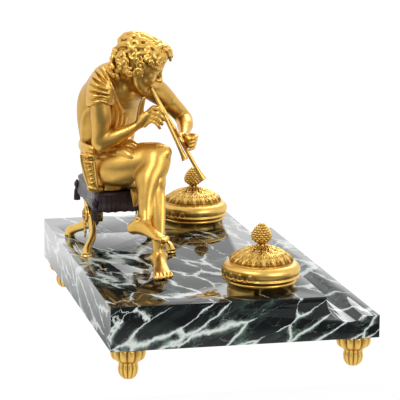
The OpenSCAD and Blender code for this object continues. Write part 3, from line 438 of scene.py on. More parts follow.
def lid_surface():
    """The lid from the middle of its ceiling down inside, round its land, and up outside to its crown."""
    hollow = np.array([(0, 30.5), (4.4, 30.5), (9.2, 27.8), (18.5, 24.1), (23.4, 18.1), (23.4, 9.0)], float)
    shoulder_r = LID_R - LID_DISC_R - 0.3
    bend = np.linspace(0, np.radians(88), 22)
    shoulder = np.stack([LID_R - shoulder_r + shoulder_r * np.cos(bend),
        LID_SHOULDER - shoulder_r + shoulder_r * np.sin(bend)], -1)
    rim = np.array([(30.6, 9.0), (31.3, 9.15), (31.7, 9.6), (31.7, 10.0), (31.3, 10.5), (30.8, 10.8),
        (30.7, 11.5), (31.0, 12.1)])
    step = np.array([(25.5, 20.72), (25.7, 21.1)])
    disc = np.array([(25.8, 22.4), (25.7, 23.2), (25.1, 24.2), (24.0, 25.1)])
    dome = curve_through([(24.0, 25.1), (18.8, 28.4), (11.5, 31.2), (5.8, 32.6), (4.6, 33.4)], 26)[1:]
    crown = np.array([(4.2, 34.0), (0.02, 34.0)])
    outside = np.vstack([rim, shoulder, step, disc[:1], curve_through(disc, 5)[1:], dome, crown])
    profile = np.vstack([hollow, outside])
    grid = revolved(profile, 432)
    # Distance along the profile, and its normal, for the relief
    ahead = np.gradient(profile, axis=0)
    normal = np.stack([ahead[:, 1], -ahead[:, 0]], -1) / np.linalg.norm(ahead, axis=1)[:, None]
    turns = np.linspace(0, 2 * np.pi, grid.shape[1], endpoint=False)
    radius = profile[:, :1]
    first = len(hollow) + len(rim) + len(shoulder) + len(step)
    on_top = (np.arange(len(profile)) >= first)[:, None] & (radius > CROWN_PAD_R + 0.2)
    walked = np.cumsum(np.linalg.norm(np.diff(profile, axis=0, prepend=profile[:1]), axis=1))[:, None]
    along = 1 - (walked - walked[first]) / LEAF_RUN
    outer = turns * LEAVES_OUTER / (2 * np.pi)
    inner = turns * LEAVES_INNER / (2 * np.pi)
    # The outer course of leaves runs over the disc's edge, the inner one lies on it, with tendrils between
    # them
    low_course = leaf_height(2.05 * (outer % 1 - 0.5), (along - 0.4) / 0.64, 3.0)
    between = leaf_height(2.3 * ((outer + 0.5) % 1 - 0.5), (along - 0.3) / 0.62, 2.0)
    high_course = leaf_height(2.05 * (inner % 1 - 0.5), along / 0.66, 4.0)
    tendrils = 0.5 + 0.5 * np.cos(2 * np.pi * (3 * inner + 3.1 * along))
    relief = np.maximum(np.maximum(0.8 * low_course, 0.55 * between), 1.05 * high_course) + 0.12 * tendrils
    height = np.where(on_top, relief, 0.0)
    # The spray on the rim, thinning out away from the hinge at +Y
    from_hinge = np.abs((turns - np.pi / 2 + np.pi) % (2 * np.pi) - np.pi)
    on_rim = ((np.arange(len(profile)) >= len(hollow) + 3) & (np.arange(len(profile)) < len(hollow)
        + len(rim) + 7))[:, None]
    spray = leaf_height(2.0 * ((from_hinge * 3.4) % 1 - 0.5), np.clip((profile[:, 1:] - 9.3) / 6.5, 0, 1),
        3.0)
    fade = np.clip((1.3 - from_hinge) / 0.3, 0, 1)
    height = height + np.where(on_rim, spray * fade, 0.0)
    lift = (height * LEAF_RELIEF - 0.25 * on_top)[..., None]
    outward = np.stack([normal[:, :1] * np.cos(turns), normal[:, :1] * np.sin(turns),
        normal[:, 1:] + 0 * turns], -1)
    # Painted shade: darker between the leaves on top and in the rim's spray, and a little everywhere else
    relief_shade = np.where(on_top, 1 - np.clip(relief * 1.15, 0, 1),
        np.where(on_rim, fade * (1 - spray) * 0.8, 0.1))
    grid = grid + outward * lift
    # Room for the collar's two hinge barrels, on both sides of the lid's own
    aside = np.abs(grid[..., 0])
    beside_barrel = (aside > 2.6) & (aside < HINGE_REACH) & (grid[..., 2] < HINGE_TOP) & (grid[...,
        1] > HINGE_NOTCH_Y)
    grid[..., 1] = np.where(beside_barrel, HINGE_NOTCH_Y, grid[..., 1])
    return grid, relief_shade + 0 * turns


def barrel(length, radius, place):
    """A cylinder along X about that place."""
    grid = revolved(np.array([(radius - 0.15, 0), (radius, 0.15), (radius, length - 0.15),
        (radius - 0.15, length)]), 32)
    grid = grid - (0, 0, length / 2)
    return closed(grid[..., [2, 0, 1]] + place)


for side in ("left", "right"):
    low, high = (np.array(corner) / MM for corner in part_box(side + "_inkpot"))
    well = np.array([(low[0] + high[0]) / 2, (low[1] + high[1]) / 2, SLAB_TOP])
    grid, hollow = lid_surface()
    points, faces = closed(grid + well)
    knuckle = barrel(KNUCKLE_L, KNUCKLE_R, well + (0, PIN_Y, PIN_Z))
    depth = np.concatenate([hollow.ravel(), [PLAIN, PLAIN], np.full(len(knuckle[0]), PLAIN)])
    lid = cast(side + "_chased_lid", [(points, faces), knuckle], depth)
    place_piece(lid, CHASED_GILT, body=side + "_lid", replaces=[side + "_lid"])

# ---- Finials ----
# A cast pine cone on a short turned stem, with a ring of small leaves below it. Its tenon passes through the
# lid.
CONE_H, CONE_R, CONE_FOOT = 15.9, 8.0, 36.4
SCALE_ROWS, SCALES_ROUND, SCALE_LIFT = 9, 13, 1.1
STEM_LEAVES, STEM_LEAF_Z, STEM_LEAF_LIFT = 6, 35.1, 1.3
TENON_R, TENON_LOW, TENON_HIGH = 1.5, 27.6, 34.4


def finial_surface():
    """Up the outside of the stem, its leaves and the cone. The scales stand in staggered rows, each a
    pointed knob."""
    stem = np.array([(0.02, 34.0), (4.0, 34.0), (3.9, 34.5), (2.8, 35.2), (2.0, 35.8), (1.9, 36.4),
        (2.3, 37.0)])
    shares = np.array([(0, 0.34), (0.06, 0.62), (0.15, 0.88), (0.27, 1), (0.4, 0.99), (0.53, 0.9),
        (0.66, 0.76), (0.79, 0.57),
        (0.91, 0.34), (0.985, 0.14), (1, 0.02)])
    cone = curve_through(np.stack([CONE_R * shares[:, 1], CONE_FOOT + CONE_H * shares[:, 0]], -1), 13)
    profile = np.vstack([curve_through(stem, 3), cone])
    grid = revolved(profile, 182)
    ahead = np.gradient(profile, axis=0)
    normal = np.stack([ahead[:, 1], -ahead[:, 0]], -1) / np.maximum(np.linalg.norm(ahead, axis=1)[:, None],
        1e-9)
    turns = np.linspace(0, 2 * np.pi, grid.shape[1], endpoint=False)
    level = np.clip((profile[:, 1:] - CONE_FOOT) / CONE_H, 0, 1) * SCALE_ROWS
    row = np.floor(level)
    across = 2 * ((turns * SCALES_ROUND / (2 * np.pi) + 0.5 * (row % 2)) % 1) - 1
    up = level - row
    knob = np.clip(1 - across ** 2, 0, 1) ** 0.7 * np.clip(np.sin(np.pi * np.clip(up * 0.85 + 0.06, 0, 1)), 0,
        1)
    on_cone = ((profile[:, 1:] > CONE_FOOT + 0.5) & (profile[:, 1:] < CONE_FOOT + CONE_H - 0.4)).astype(float)
    leafy = np.exp(-((profile[:, 1:] - STEM_LEAF_Z) / 0.5) ** 2) * np.clip(np.cos(STEM_LEAVES * turns), 0,
        1) ** 0.7
    height = on_cone * (knob - 0.35) * SCALE_LIFT + leafy * STEM_LEAF_LIFT
    outward = np.stack([normal[:, :1] * np.cos(turns), normal[:, :1] * np.sin(turns),
        normal[:, 1:] + 0 * turns], -1)
    # With the surface goes its painted shade: darker between the scales, and a little darker on the stem
    return grid + outward * height[..., None], on_cone * (1 - knob) * 0.9 + 0.25 * (1 - on_cone) + 0 * turns


for side in ("left", "right"):
    low, high = (np.array(corner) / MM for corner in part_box(side + "_finial"))
    grid, hollow = finial_surface()
    tenon = revolved(np.array([(TENON_R, TENON_LOW), (TENON_R, TENON_HIGH)]), 32)
    well = np.array([(low[0] + high[0]) / 2, (low[1] + high[1]) / 2, SLAB_TOP])
    shapes = [closed(grid + well), closed(tenon + well)]
    depth = np.concatenate([hollow.ravel(), [PLAIN, PLAIN], np.full(len(shapes[1][0]), PLAIN)])
    cone = cast(side + "_pine_cone", shapes, depth)
    place_piece(cone, CHASED_GILT, body=side + "_lid", replaces=[side + "_finial"])

# ---- Feet ----
# Four cast feet, each a fluted cap of twelve fat lobes over a narrower bulb, held by a stud from the slab.
LOBES, LOBE_DEPTH = 12, 0.15
FOOT_PROFILE = [(13.2, 26.0), (14.2, 24.6), (14.4, 22.0), (14.1, 19.4), (12.6, 16.6), (9.6, 14.6),
    (7.9, 12.8), (7.9, 10.8), (8.3, 8.4), (7.9, 5.2), (6.5, 2.2), (4.6, 0.35), (4.2, 0.0)]

for place in ("front_left", "front_right", "back_left", "back_right"):
    low, high = (np.array(corner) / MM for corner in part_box("foot_" + place))
    profile = curve_through(FOOT_PROFILE, 9)
    grid = revolved(profile, 288)
    turns = np.linspace(0, 2 * np.pi, grid.shape[1], endpoint=False)
    flute = 1 - np.abs(np.cos(LOBES * turns / 2)) ** 0.8
    grid[..., :2] *= (1 - LOBE_DEPTH * flute)[None, :, None]
    points, faces = closed(grid + ((low[0] + high[0]) / 2, (low[1] + high[1]) / 2, 0))
    # The flutes are painted darker, as shade
    flute_shade = np.concatenate([np.tile(flute ** 1.5, len(profile)), [0.5, 0.5]])
    foot = cast("lobed_foot_" + place, [(points, faces)], flute_shade)
    place_piece(foot, CHASED_GILT, replaces=["foot_" + place])

# ---- Stool legs ----
# Four bowed bars, crossed in pairs and pinned at the crossing. Each foot is screwed to the marble from
# below, and each top end carries the cushion by a tenon. The bars have soft arrises.
SEAT = np.array([51.5, 61.0, 119.0])
SEAT_L, SEAT_W, SEAT_T = 93.0, 62.0, 17.0
FRAME_PITCH, HUB_Z, LEG_W, LEG_T = 46.0, 89.5, 5.4, 6.2
SPREAD_X, SPREAD_Y, HUB_R, ARM_REACH = 43.0, 14.0, 7.0, 27.0
HALF_GAP, ARRIS, FILED_TO = 0.05, 0.5, 0.45 * MM
PAD_PROFILE = [(4.4, 0), (4.9, 0.3), (4.9, 1.0), (4.2, 1.6), (3.6, 2.6)]
TENON_PROFILE = [(3.2, 0), (3.9, 0.5), (3.9, 1.6), (3.5, 2.0)]
# Turns that lay a disc's axis along Y, or leave it upright
ALONG_Y = np.array([[1, 0, 0], [0, 0, -1], [0, 1, 0]])
UPRIGHT = np.eye(3)


def unit(v):
    """Vectors scaled to a length of 1."""
    return v / np.maximum(np.linalg.norm(v, axis=-1, keepdims=True), 1e-9)


def limb(rows, side, steps=8, around=32, power=2.0, dimple=0.0):
    """A grid of oval rings along a smooth path. A row is a centre, a half width along side and a half width
    across it.

    The ovals are superellipses of that power, so a power above 2 squares them, and the ends close in a round
    cap.
    """
    path = curve_through(rows, steps)
    centre, wide, deep = path[:, :3], path[:, 3:4], path[:, 4:5]
    ahead = unit(np.gradient(centre, axis=0))
    sideways = unit(np.asarray(side, float) - (ahead @ np.asarray(side, float))[:, None] * ahead)
    across = np.cross(ahead, sideways)
    turns = np.linspace(0, 2 * np.pi, around, endpoint=False)
    c, s = np.cos(turns), np.sin(turns)
    reach = (np.abs(c) ** power + np.abs(s) ** power) ** (-1 / power) * (1 - dimple * np.cos(4 * turns) ** 8)
    ring = (c * reach)[None, :, None] * sideways[:, None] * wide[:, None] + (s * reach)[None, :,
        None] * across[:, None] * deep[:, None]
    cap = np.sin(np.radians([12, 35, 62]))[:, None, None]
    bulge = np.cos(np.radians([12, 35, 62]))[:, None, None]
    tip = min(wide[0, 0], deep[0, 0]) * 0.5
    tail = min(wide[-1, 0], deep[-1, 0]) * 0.5
    first = centre[0] - ahead[0] * tip * bulge + ring[0] * cap
    last = centre[-1] + ahead[-1] * tail * bulge[::-1] + ring[-1] * cap[::-1]
    return np.concatenate([first, centre[:, None] + ring, last])


def disc(profile, place, turn, around=64):
    """A turned shape whose axis Z is turned by that matrix and moved to the place."""
    return closed(revolved(np.array(profile, float), around) @ np.array(turn).T + place)


for depth_name, d in (("back", 1), ("front", -1)):
    for side_name, s in (("left", -1), ("right", 1)):
        layer = s * -d
        hub = np.array([SEAT[0], SEAT[1] + d * FRAME_PITCH / 2, HUB_Z])
        y0 = layer * (LEG_T / 2 + HALF_GAP)
        drop, rise = HUB_Z - SLAB_TOP, SEAT[2] - SEAT_T - HUB_Z
        a, b = LEG_W, LEG_T / 2
        lower = [(s * 2, y0, -2, a, b), (s * 11, y0, -8, a, b),
            (s * 22, 0.3 * y0 + 0.7 * d * 5, -14, a * 0.8, b * 0.9),
            (s * 33, d * 9.5, -19.5, a * 0.72, b * 0.85), (s * 40, d * 13, -23, a * 0.85, b * 0.95),
            (s * SPREAD_X, d * SPREAD_Y, -drop + 0.6, a * 1.15, b * 1.2)]
        upper = [(-s * 2, y0, 2, a, b), (-s * 11, y0, 5.5, a * 0.9, b), (-s * 20, y0 * 0.6, 8, a * 0.75, b),
            (-s * ARM_REACH, 0, rise - 1.2, a * 0.75, b)]
        shapes = [closed(limb(rows, (0, 0, 1), 10, 40, 3.0) + hub) for rows in (lower, upper)]
        eye = [(HUB_R - ARRIS, -b), (HUB_R, -b + ARRIS), (HUB_R, b - ARRIS), (HUB_R - ARRIS, b)]
        shapes.append(disc(eye, hub + (0, y0, 0), ALONG_Y))
        shapes.append(disc(PAD_PROFILE, hub + (s * SPREAD_X, d * SPREAD_Y, -drop), UPRIGHT))
        shapes.append(disc(TENON_PROFILE, hub + (-s * ARM_REACH, 0, rise - TENON_PROFILE[-1][1]), UPRIGHT))
        leg = cast("bowed_leg_%s_%s" % (depth_name, side_name), shapes)
        joined = leg.modifiers.new("smooth joints", "REMESH")
        joined.mode, joined.voxel_size = "VOXEL", FILED_TO
        joined.use_smooth_shade = True
        soften = leg.modifiers.new("filed", "SMOOTH")
        soften.iterations, soften.factor = 3, 0.5
        place_piece(leg, CHASED_GILT, replaces=["stool_leg_%s_%s" % (depth_name, side_name)])

# ---- Crossing bolts ----
# A chased rosette on the outer face of each frame covers the bolt, with a pointed leaf that hangs from it.
PETALS, PETAL_LIFT = 8, 0.7
ROSETTE_PROFILE = [(HUB_R, 0), (HUB_R + 0.05, 0.9), (6.2, 1.8), (5.2, 1.7), (4.6, 2.0), (3.4, 2.9),
    (1.6, 3.3), (0.02, 3.35)]
# A row of the leaf: its centre, its half width and its half thickness
HANGING_LEAF = [(0, 4.0, 1.0, 1.8, 1.0), (0, 8, 1.3, 2.9, 1.3), (0, 12, 1.1, 3.1, 1.2),
    (0, 17, 0.9, 2.0, 1.0), (0, 21, 1.3, 0.5, 0.5)]

for depth_name, d in (("back", 1), ("front", -1)):
    hub = np.array([SEAT[0], SEAT[1] + d * FRAME_PITCH / 2, HUB_Z])
    face = LEG_T + 2 * HALF_GAP
    profile = curve_through(ROSETTE_PROFILE, 6)
    rosette = revolved(profile, 160)
    turns = np.linspace(0, 2 * np.pi, 160, endpoint=False)
    petals = np.clip(np.cos(PETALS * turns), 0, 1) ** 0.6 * np.exp(-((profile[:, :1] - 4.2) / 1.5) ** 2)
    rosette[..., 2] += PETAL_LIFT * petals
    back = revolved(np.array([(2.2, -face - 1.5), (2.2, 0.4)]), 24)
    stand = np.array([[1, 0, 0], [0, 0, d], [0, -d, 0]], float)
    leaf = limb(HANGING_LEAF, (1, 0, 0), 8, 32)
    leaf[..., 2] += 0.5 * np.cos(leaf[..., 1] * 1.7) * (np.abs(leaf[..., 0]) > 0.7) * (leaf[..., 2] > 1.2)
    shapes = [closed(part @ stand.T + hub + (0, d * face, 0)) for part in (rosette, back, leaf)]
    # Painted shade: darker between the petals, on the bolt's back and a little on the leaf
    hollow = np.concatenate([(0.15 + 0.7 * (1 - petals) * (profile[:, :1] < 6)).ravel(), [0, 0],
        np.full(len(shapes[1][0]), 0.5),
        np.full(len(shapes[2][0]), 0.25)])
    bolt = cast("rosette_" + depth_name, shapes, hollow)
    place_piece(bolt, CHASED_GILT, replaces=["stool_hub_" + depth_name])

# ---- Cushion ----
# A cast cushion in dark patinated bronze, with a softly crowned top, drawn-in sides with gathers towards its
# corners, and a wavy lower edge like that of a cloth. Being cast, it isn't a padded piece.


def dark_patina():
    """Bronze under a dark brown-purple patina: the metal hardly shows, and the waxed surface has a soft
    shine."""
    patina = bpy.data.materials.new("brown patinated bronze")
    patina.use_nodes = True
    tree = patina.node_tree
    tree.nodes.clear()
    place = add(tree, "ShaderNodeTexCoord").outputs["Object"]
    hollow = add(tree, "ShaderNodeAttribute", attribute_name="hollow").outputs["Fac"]
    cloudy = add(tree, "ShaderNodeTexNoise", {"Vector": place, "Scale": 90.0, "Detail": 5.0,
        "Roughness": 0.6}).outputs["Fac"]
    worn = add(tree, "ShaderNodeMapRange", {"Value": cloudy, "From Min": 0.35, "From Max": 0.7}).outputs[0]
    skin = add(tree, "ShaderNodeMix", {"Factor": worn, 6: linear("#281D20"), 7: linear("#4C3B40")},
        data_type="RGBA").outputs[2]
    colour = add(tree, "ShaderNodeMix", {"Factor": hollow, 6: skin, 7: linear("#140D0E")},
        data_type="RGBA").outputs[2]
    rough = add(tree, "ShaderNodeMapRange", {"Value": cloudy, "To Min": 0.26, "To Max": 0.42}).outputs[0]
    grain = add(tree, "ShaderNodeTexNoise", {"Vector": place, "Scale": 650.0, "Detail": 4.0}).outputs["Fac"]
    bump = add(tree, "ShaderNodeBump", {"Height": grain, "Strength": 0.4, "Distance": 0.0005}).outputs[0]
    shader = add(tree, "ShaderNodeBsdfPrincipled",
        {"Base Color": colour, "Metallic": 0.35, "Roughness": rough, "Normal": bump})
    add(tree, "ShaderNodeOutputMaterial", {"Surface": shader.outputs[0]})
    return patina


PATINA = dark_patina()
CUSHION_POWER, CUSHION_PULL = 9, 1.8
CORNER_SHARE = 0.5 ** (1 / CUSHION_POWER)
GATHERS, GATHER_DEPTH, HEM_WAVES, HEM_LIFT = 60, 0.35, 14, 0.7
# Height over the underside, and distance in from the side
CUSHION_SECTION = [(0.8, 20), (-0.6, 5), (-2.6, 2.6), (-1.4, 0.6), (1.6, 0.1), (6.5, 1.0), (11.0, 0.9),
    (13.8, 0.2), (15.6, 1.4), (16.6, 4.5), (17.0, 12), (17.0, 22), (17.0, 29)]


def cushion_surface():
    """Rings of a squared oval, from the underside out over the lower roll, up the hollow side and over the
    crown."""
    section = curve_through(CUSHION_SECTION, 7)
    turns = np.linspace(0, 2 * np.pi, 480, endpoint=False)
    c, s = np.cos(turns), np.sin(turns)
    reach = (np.abs(c) ** CUSHION_POWER + np.abs(s) ** CUSHION_POWER) ** (-1 / CUSHION_POWER)
    corner = np.abs(np.sin(2 * turns))
    height, inset = section[:, :1], section[:, 1:]
    side = np.exp(-((height - 4) / 7.5) ** 2) * (inset < 6)
    gathers = GATHER_DEPTH * side * np.cos(GATHERS * turns + 0.8 * np.sin(9 * turns)) * corner ** 3
    wide = SEAT_L / 2 - inset - CUSHION_PULL * (1 - corner) + gathers
    deep = SEAT_W / 2 - inset - CUSHION_PULL * (1 - corner) + gathers
    hem = HEM_LIFT * np.exp(-((height + 2.2) / 1.8) ** 2) * (np.cos(HEM_WAVES * turns + 0.6
        * np.sin(5 * turns)) - 0.2) * (inset < 12)
    x = np.maximum(wide, 0.3) * c * reach
    y = np.maximum(deep, 0.3) * s * reach
    return np.stack([x, y, height + np.abs(hem) + 0 * turns], -1), np.clip(0.25 + gathers * -1.6, 0, 1)


grid, hollow = cushion_surface()
points, faces = closed(grid + SEAT - (0, 0, SEAT_T))
cushion = cast("cast_cushion", [(points, faces)], np.concatenate([hollow.ravel(), [0.3, 0.3]]))
place_piece(cushion, PATINA, replaces=["stool_cushion"])

# ---- Tassels ----
# A cast tassel hangs at each corner: a knob under a short cord, and a skirt of threads, in the cushion's
# dark bronze. Each is cast in one with its cord, which is let into the cushion's corner.
TASSEL_R, TASSEL_L = 3.2, 19.0
THREADS, THREAD_DEPTH, SKIRT_TOP = 16, 0.05, 11.5
TASSEL_PROFILE = [(0.02, 0), (2.5, 0.1), (2.8, 0.9), (2.7, 5), (2.4, 9), (1.7, 11.2), (2.1, 12.4),
    (2.6, 14.2), (2.3, 16.2), (1.4, 17.4), (1.1, 18.4), (0.02, 19.0)]
tassel_shapes, tassel_hollow = [], []
for d in (-1, 1):
    for s in (-1, 1):
        profile = curve_through(TASSEL_PROFILE, 6)
        grid = revolved(profile, 96)
        turns = np.linspace(0, 2 * np.pi, 96, endpoint=False)
        threads = np.cos(THREADS * turns + 0.35 * profile[:, :1]) * (profile[:,
            1:] < SKIRT_TOP) * np.clip(profile[:, :1] / 2.5, 0, 1)
        grid[..., :2] *= (1 + THREAD_DEPTH * threads)[..., None]
        beyond = TASSEL_R * 0.35
        corner = (s * (CORNER_SHARE * SEAT_L / 2 + beyond), d * (CORNER_SHARE * SEAT_W / 2 + beyond))
        place = SEAT + (*corner, -SEAT_T / 2 - TASSEL_L + 2)
        tassel_shapes.append(closed(grid + place))
        tassel_hollow += [*(0.5 - 0.5 * threads).ravel(), 0, 0]
tassels = cast("cast_tassels", tassel_shapes, np.array(tassel_hollow))
place_piece(tassels, PATINA, replaces=["cushion_tassels"])

# ---- Figure: tunic and body ----
# The seated figure is cast in parts from waxes. The largest is the body in its short-sleeved tunic: a cord
# round the neck, sleeves pushed up in pleats, a bare right flank, a rolled belt, and a hem that lies in
# folds over the lap.
FINE = 0.5


class Wax:
    """A block of distances in millimetres from a form's surface, negative inside it, on an even grid of
    points.

    The form is built up and cut like wax. Points are measured from the middle of the cushion's top.
    """

    FAR = 4.0

    def __init__(self, low, high, step):
        """An empty block between two corners, with a point at every step."""
        self.low, self.step = np.array(low, np.float32), np.float32(step)
        self.count = np.ceil((np.array(high) - self.low) / step).astype(int) + 1
        self.depth = np.full(self.count, self.FAR, np.float32)

    def window(self, low, high):
        """The slices of the grid between two corners, and their points along each axis."""
        first = np.clip(np.floor((low - self.low) / self.step).astype(int), 0, self.count)
        last = np.clip(np.ceil((high - self.low) / self.step).astype(int) + 1, 0, self.count)
        axes = [self.low[k] + self.step * np.arange(first[k], last[k], dtype=np.float32) for k in range(3)]
        shaped = [axes[0][:, None, None], axes[1][None, :, None], axes[2][None, None, :]]
        return tuple(slice(a, b) for a, b in zip(first, last)), shaped

    def merge(self, where, other, blend, cut):
        """Joins or cuts by another form. Where the two surfaces are within blend of each other the seam is
        rounded."""
        mine = -self.depth[where] if cut else self.depth[where]
        near = np.clip(1 - np.abs(mine - other) / blend, 0, None)
        joined = np.minimum(mine, other) - near * near * np.float32(blend / 4)
        self.depth[where] = -joined if cut else joined

    def tube(self, rows, side=(1, 0, 0), blend=2.0, steps=4, cut=False):
        """A form along a smooth path. A row is a point with one radius, or with a half width along side and
        one across."""
        rows = np.asarray(rows, float)
        rows = rows if rows.shape[1] == 5 else np.column_stack([rows, rows[:, 3]])
        path = curve_through(rows, steps).astype(np.float32)
        reach = path[:, 3:].max() + blend + 1
        whole, _ = self.window(path[:, :3].min(0) - reach, path[:, :3].max(0) + reach)
        found = np.full([w.stop - w.start for w in whole], self.FAR + reach, np.float32)
        for a, b in zip(path, path[1:]):
            reach = max(a[3:].max(), b[3:].max()) + blend + 1
            where, (x, y, z) = self.window(np.minimum(a, b)[:3] - reach, np.maximum(a, b)[:3] + reach)
            if 0 in [w.stop - w.start for w in where]:
                continue
            run = b[:3] - a[:3]
            length = np.linalg.norm(run) + 1e-6
            ahead = run / length
            sideways = unit(np.asarray(side, np.float32) - np.dot(side, ahead) * ahead)
            across = np.cross(ahead, sideways)
            dx, dy, dz = x - a[0], y - a[1], z - a[2]
            gone = dx * ahead[0] + dy * ahead[1] + dz * ahead[2]
            share = np.clip(gone / length, 0, 1)
            past = gone - share * length
            wide, deep = a[3] + share * (b[3] - a[3]), a[4] + share * (b[4] - a[4])
            u = (dx * sideways[0] + dy * sideways[1] + dz * sideways[2]) / wide
            v = (dx * across[0] + dy * across[1] + dz * across[2]) / deep
            end = np.minimum(wide, deep)
            w = past / end
            level = np.sqrt(u * u + v * v + w * w) + 1e-6
            slope = np.sqrt((u / wide) ** 2 + (v / deep) ** 2 + (w / end) ** 2) + 1e-6
            inner = tuple(slice(m.start - n.start, m.stop - n.start) for m, n in zip(where, whole))
            found[inner] = np.minimum(found[inner], level * (level - 1) / slope)
        self.merge(whole, found, blend, cut)

    def ball(self, centre, radii, axes=None, blend=2.0, cut=False):
        """An ellipsoid with those three radii along the rows of axes."""
        centre, radii = np.asarray(centre, float), np.asarray(radii, float)
        axes = np.eye(3) if axes is None else np.asarray(axes)
        reach = np.abs(axes.T * radii).sum(1) + blend + 1
        where, (x, y, z) = self.window(centre - reach, centre + reach)
        level, slope = 0, 0
        for axis, radius in zip(axes.astype(np.float32), radii.astype(np.float32)):
            along = ((x - centre[0]) * axis[0] + (y - centre[1]) * axis[1] + (z - centre[2])
                * axis[2]) / radius
            level, slope = level + along * along, slope + (along / radius) ** 2
        level, slope = np.sqrt(level) + 1e-6, np.sqrt(slope) + 1e-6
        self.merge(where, (level * (level - 1) / slope).astype(np.float32), blend, cut)

    def clear(self, low, high):
        """Takes away all that lies between two corners."""
        where, (x, y, z) = self.window(np.array(low, float) - 2, np.array(high, float) + 2)
        outside = [np.maximum(low[k] - p, p - high[k]) for k, p in enumerate((x, y, z))]
        block = np.maximum(np.maximum(outside[0], outside[1]), outside[2])
        self.depth[where] = np.maximum(self.depth[where], -block)

    def seen_at(self, pixels, lift=0.0):
        """Where the lines of sight through pixels of the 400 x 400 view first meet the form, or lie lift
        above it."""
        focal = LENS / SENSOR * 400
        pixels = np.asarray(pixels, float)
        basis = np.array(camera.matrix_world.to_3x3(), float)
        sight = np.column_stack([(pixels[:, 0] - 200) / focal, (200 - pixels[:, 1]) / focal,
            -np.ones(len(pixels))]) @ basis.T
        sight = unit(sight)
        eye = np.array(VIEW_PLACE) - SEAT
        middle = self.low + self.step * self.count / 2
        start = np.linalg.norm(middle - eye) - 110
        ways = start + np.arange(0, 220, 0.2)
        points = eye + sight[:, None] * ways[None, :, None]
        index = np.clip(np.round((points - self.low) / self.step).astype(int), 0, self.count - 1)
        level = self.depth[index[..., 0], index[..., 1], index[..., 2]]
        hit = np.argmax(level < lift, axis=1)
        found = points[np.arange(len(points)), hit]
        return found[(level < lift).any(1)]

    def outermost(self, middle, ways):
        """Where rays from a middle leave the form for the last time. ways are unit vectors."""
        reach = np.arange(0, 45, 0.15)
        points = middle + np.asarray(ways)[:, None] * reach[None, :, None]
        index = np.clip(np.round((points - self.low) / self.step).astype(int), 0, self.count - 1)
        inside = self.depth[index[..., 0], index[..., 1], index[..., 2]] < 0
        last = len(reach) - 1 - np.argmax(inside[:, ::-1], axis=1)
        return points[np.arange(len(points)), last]

    def draw(self, pixels, width, lift=0.0, blend=1.0, cut=False, steps=4):
        """A fold or a groove that is laid on the form along a line of the view. It thins out towards its
        ends."""
        line = self.seen_at(pixels, lift)
        if len(line) < 2:
            return
        taper = np.sin(np.linspace(0.12, 0.88, len(line)) * np.pi) ** 0.6
        self.tube(np.column_stack([line, width * taper]), blend=blend, cut=cut, steps=steps)

    def skin(self, gain=0.55):
        """The form's points and faces, and how deep each point lies in a hollow, from 0 to 1."""
        grid = openvdb.FloatGrid(self.FAR)
        grid.copyFromArray(np.ascontiguousarray(self.depth))
        points, faces = grid.convertToQuads(isovalue=0.0)
        low = np.clip(np.floor(points).astype(int), 0, self.count - 2)
        share = points - low
        # How deep each point lies in a hollow, from the distances blurred over two reaches: the gilding is
        # painted darker there, as shade
        hollow = 0
        for reach in (1.2, 3.2):
            blurred = self.depth
            span = max(1, int(reach / self.step))
            for axis in range(3):
                total = np.cumsum(blurred, axis=axis, dtype=np.float64)
                ahead, behind = np.roll(total, -span, axis), np.roll(total, span + 1, axis)
                blurred = ((ahead - behind) / (2 * span + 1)).astype(np.float32)
            for i, j, k in np.ndindex(2, 2, 2):
                weight = np.abs(1 - np.array((i, j, k)) - share).prod(1)
                hollow = hollow - weight * blurred[low[:, 0] + i, low[:, 1] + j, low[:, 2] + k] / reach
        return points * self.step + self.low, faces, np.clip(0.2 + gain * 4 * hollow, 0, 1)


def add_details(wax, details):
    """Adds each named detail in turn: a ball by its place, radii and blend, or a tube by its rows and
    blend."""
    for *form, blend in details.values():
        if len(form) == 2:
            wax.ball(*form, blend=blend)
        else:
            wax.tube(*form, blend=blend)


def sculpted(name, wax, node, filing, body="base"):
    """The finished casting of a wax, in place of its CAD node. filing is how often the file went over it."""
    points, faces, hollow = wax.skin()
    made = cast(name, [(points + SEAT, faces.tolist())], hollow)
    filed = made.modifiers.new("filed", "SMOOTH")
    filed.iterations, filed.factor = filing, 0.5
    return place_piece(made, FIGURE_GILT, body, [node])


# The figure's gilding is painted a dark orange-brown in its hollows, as shade
FIGURE_GILT = gilt_bronze("fire-gilt bronze, sculpted", raised="#DDB05A", hollow_shade="#7C5417", smooth=0.33,
    matt=0.5)

CHEST_SIDE, LAP_SIDE, HIP_SIDE = (-0.42, 0.91, 0), (-0.55, 0.8, 0), (0.3, 0.9, 0)
TORSO = [(-28.5, 15, -1, 17, 17), (-28.5, 15.5, 7, 19, 18.5), (-28.5, 16.5, 19, 22.6, 19.5),
    (-28.5, 17, 31, 24, 17.5), (-29, 16, 42, 25.3, 18), (-30.5, 16, 53, 26.5, 18.5),
    (-33.5, 15, 65, 26.5, 18.5), (-38.5, 12, 77, 25, 16.5), (-45.5, 7.5, 86, 20, 13.5),
    (-50.5, 5, 93, 12, 9.5)]
LAP = [(-35.5, 13, 26, 22, 16), (-49.5, 4, 31, 18, 13), (-60.5, -4, 33, 14, 9), (-67.5, -9, 35, 8, 5)]
NAPE = [(-37.5, 27, 81, 10, 10), (-43.5, 26, 91, 10, 10), (-46.5, 20, 99, 10.5, 10.5),
    (-49.5, 14, 101.5, 10, 9.5), (-52.5, 7, 100, 8, 8)]
RIGHT_SLEEVE = [(-52.5, 17, 102, 8, 8), (-54.5, 22, 97, 11.5, 11.5), (-57, 26.5, 88, 13, 12.4),
    (-58.5, 28.4, 79, 12.2, 11.4)]
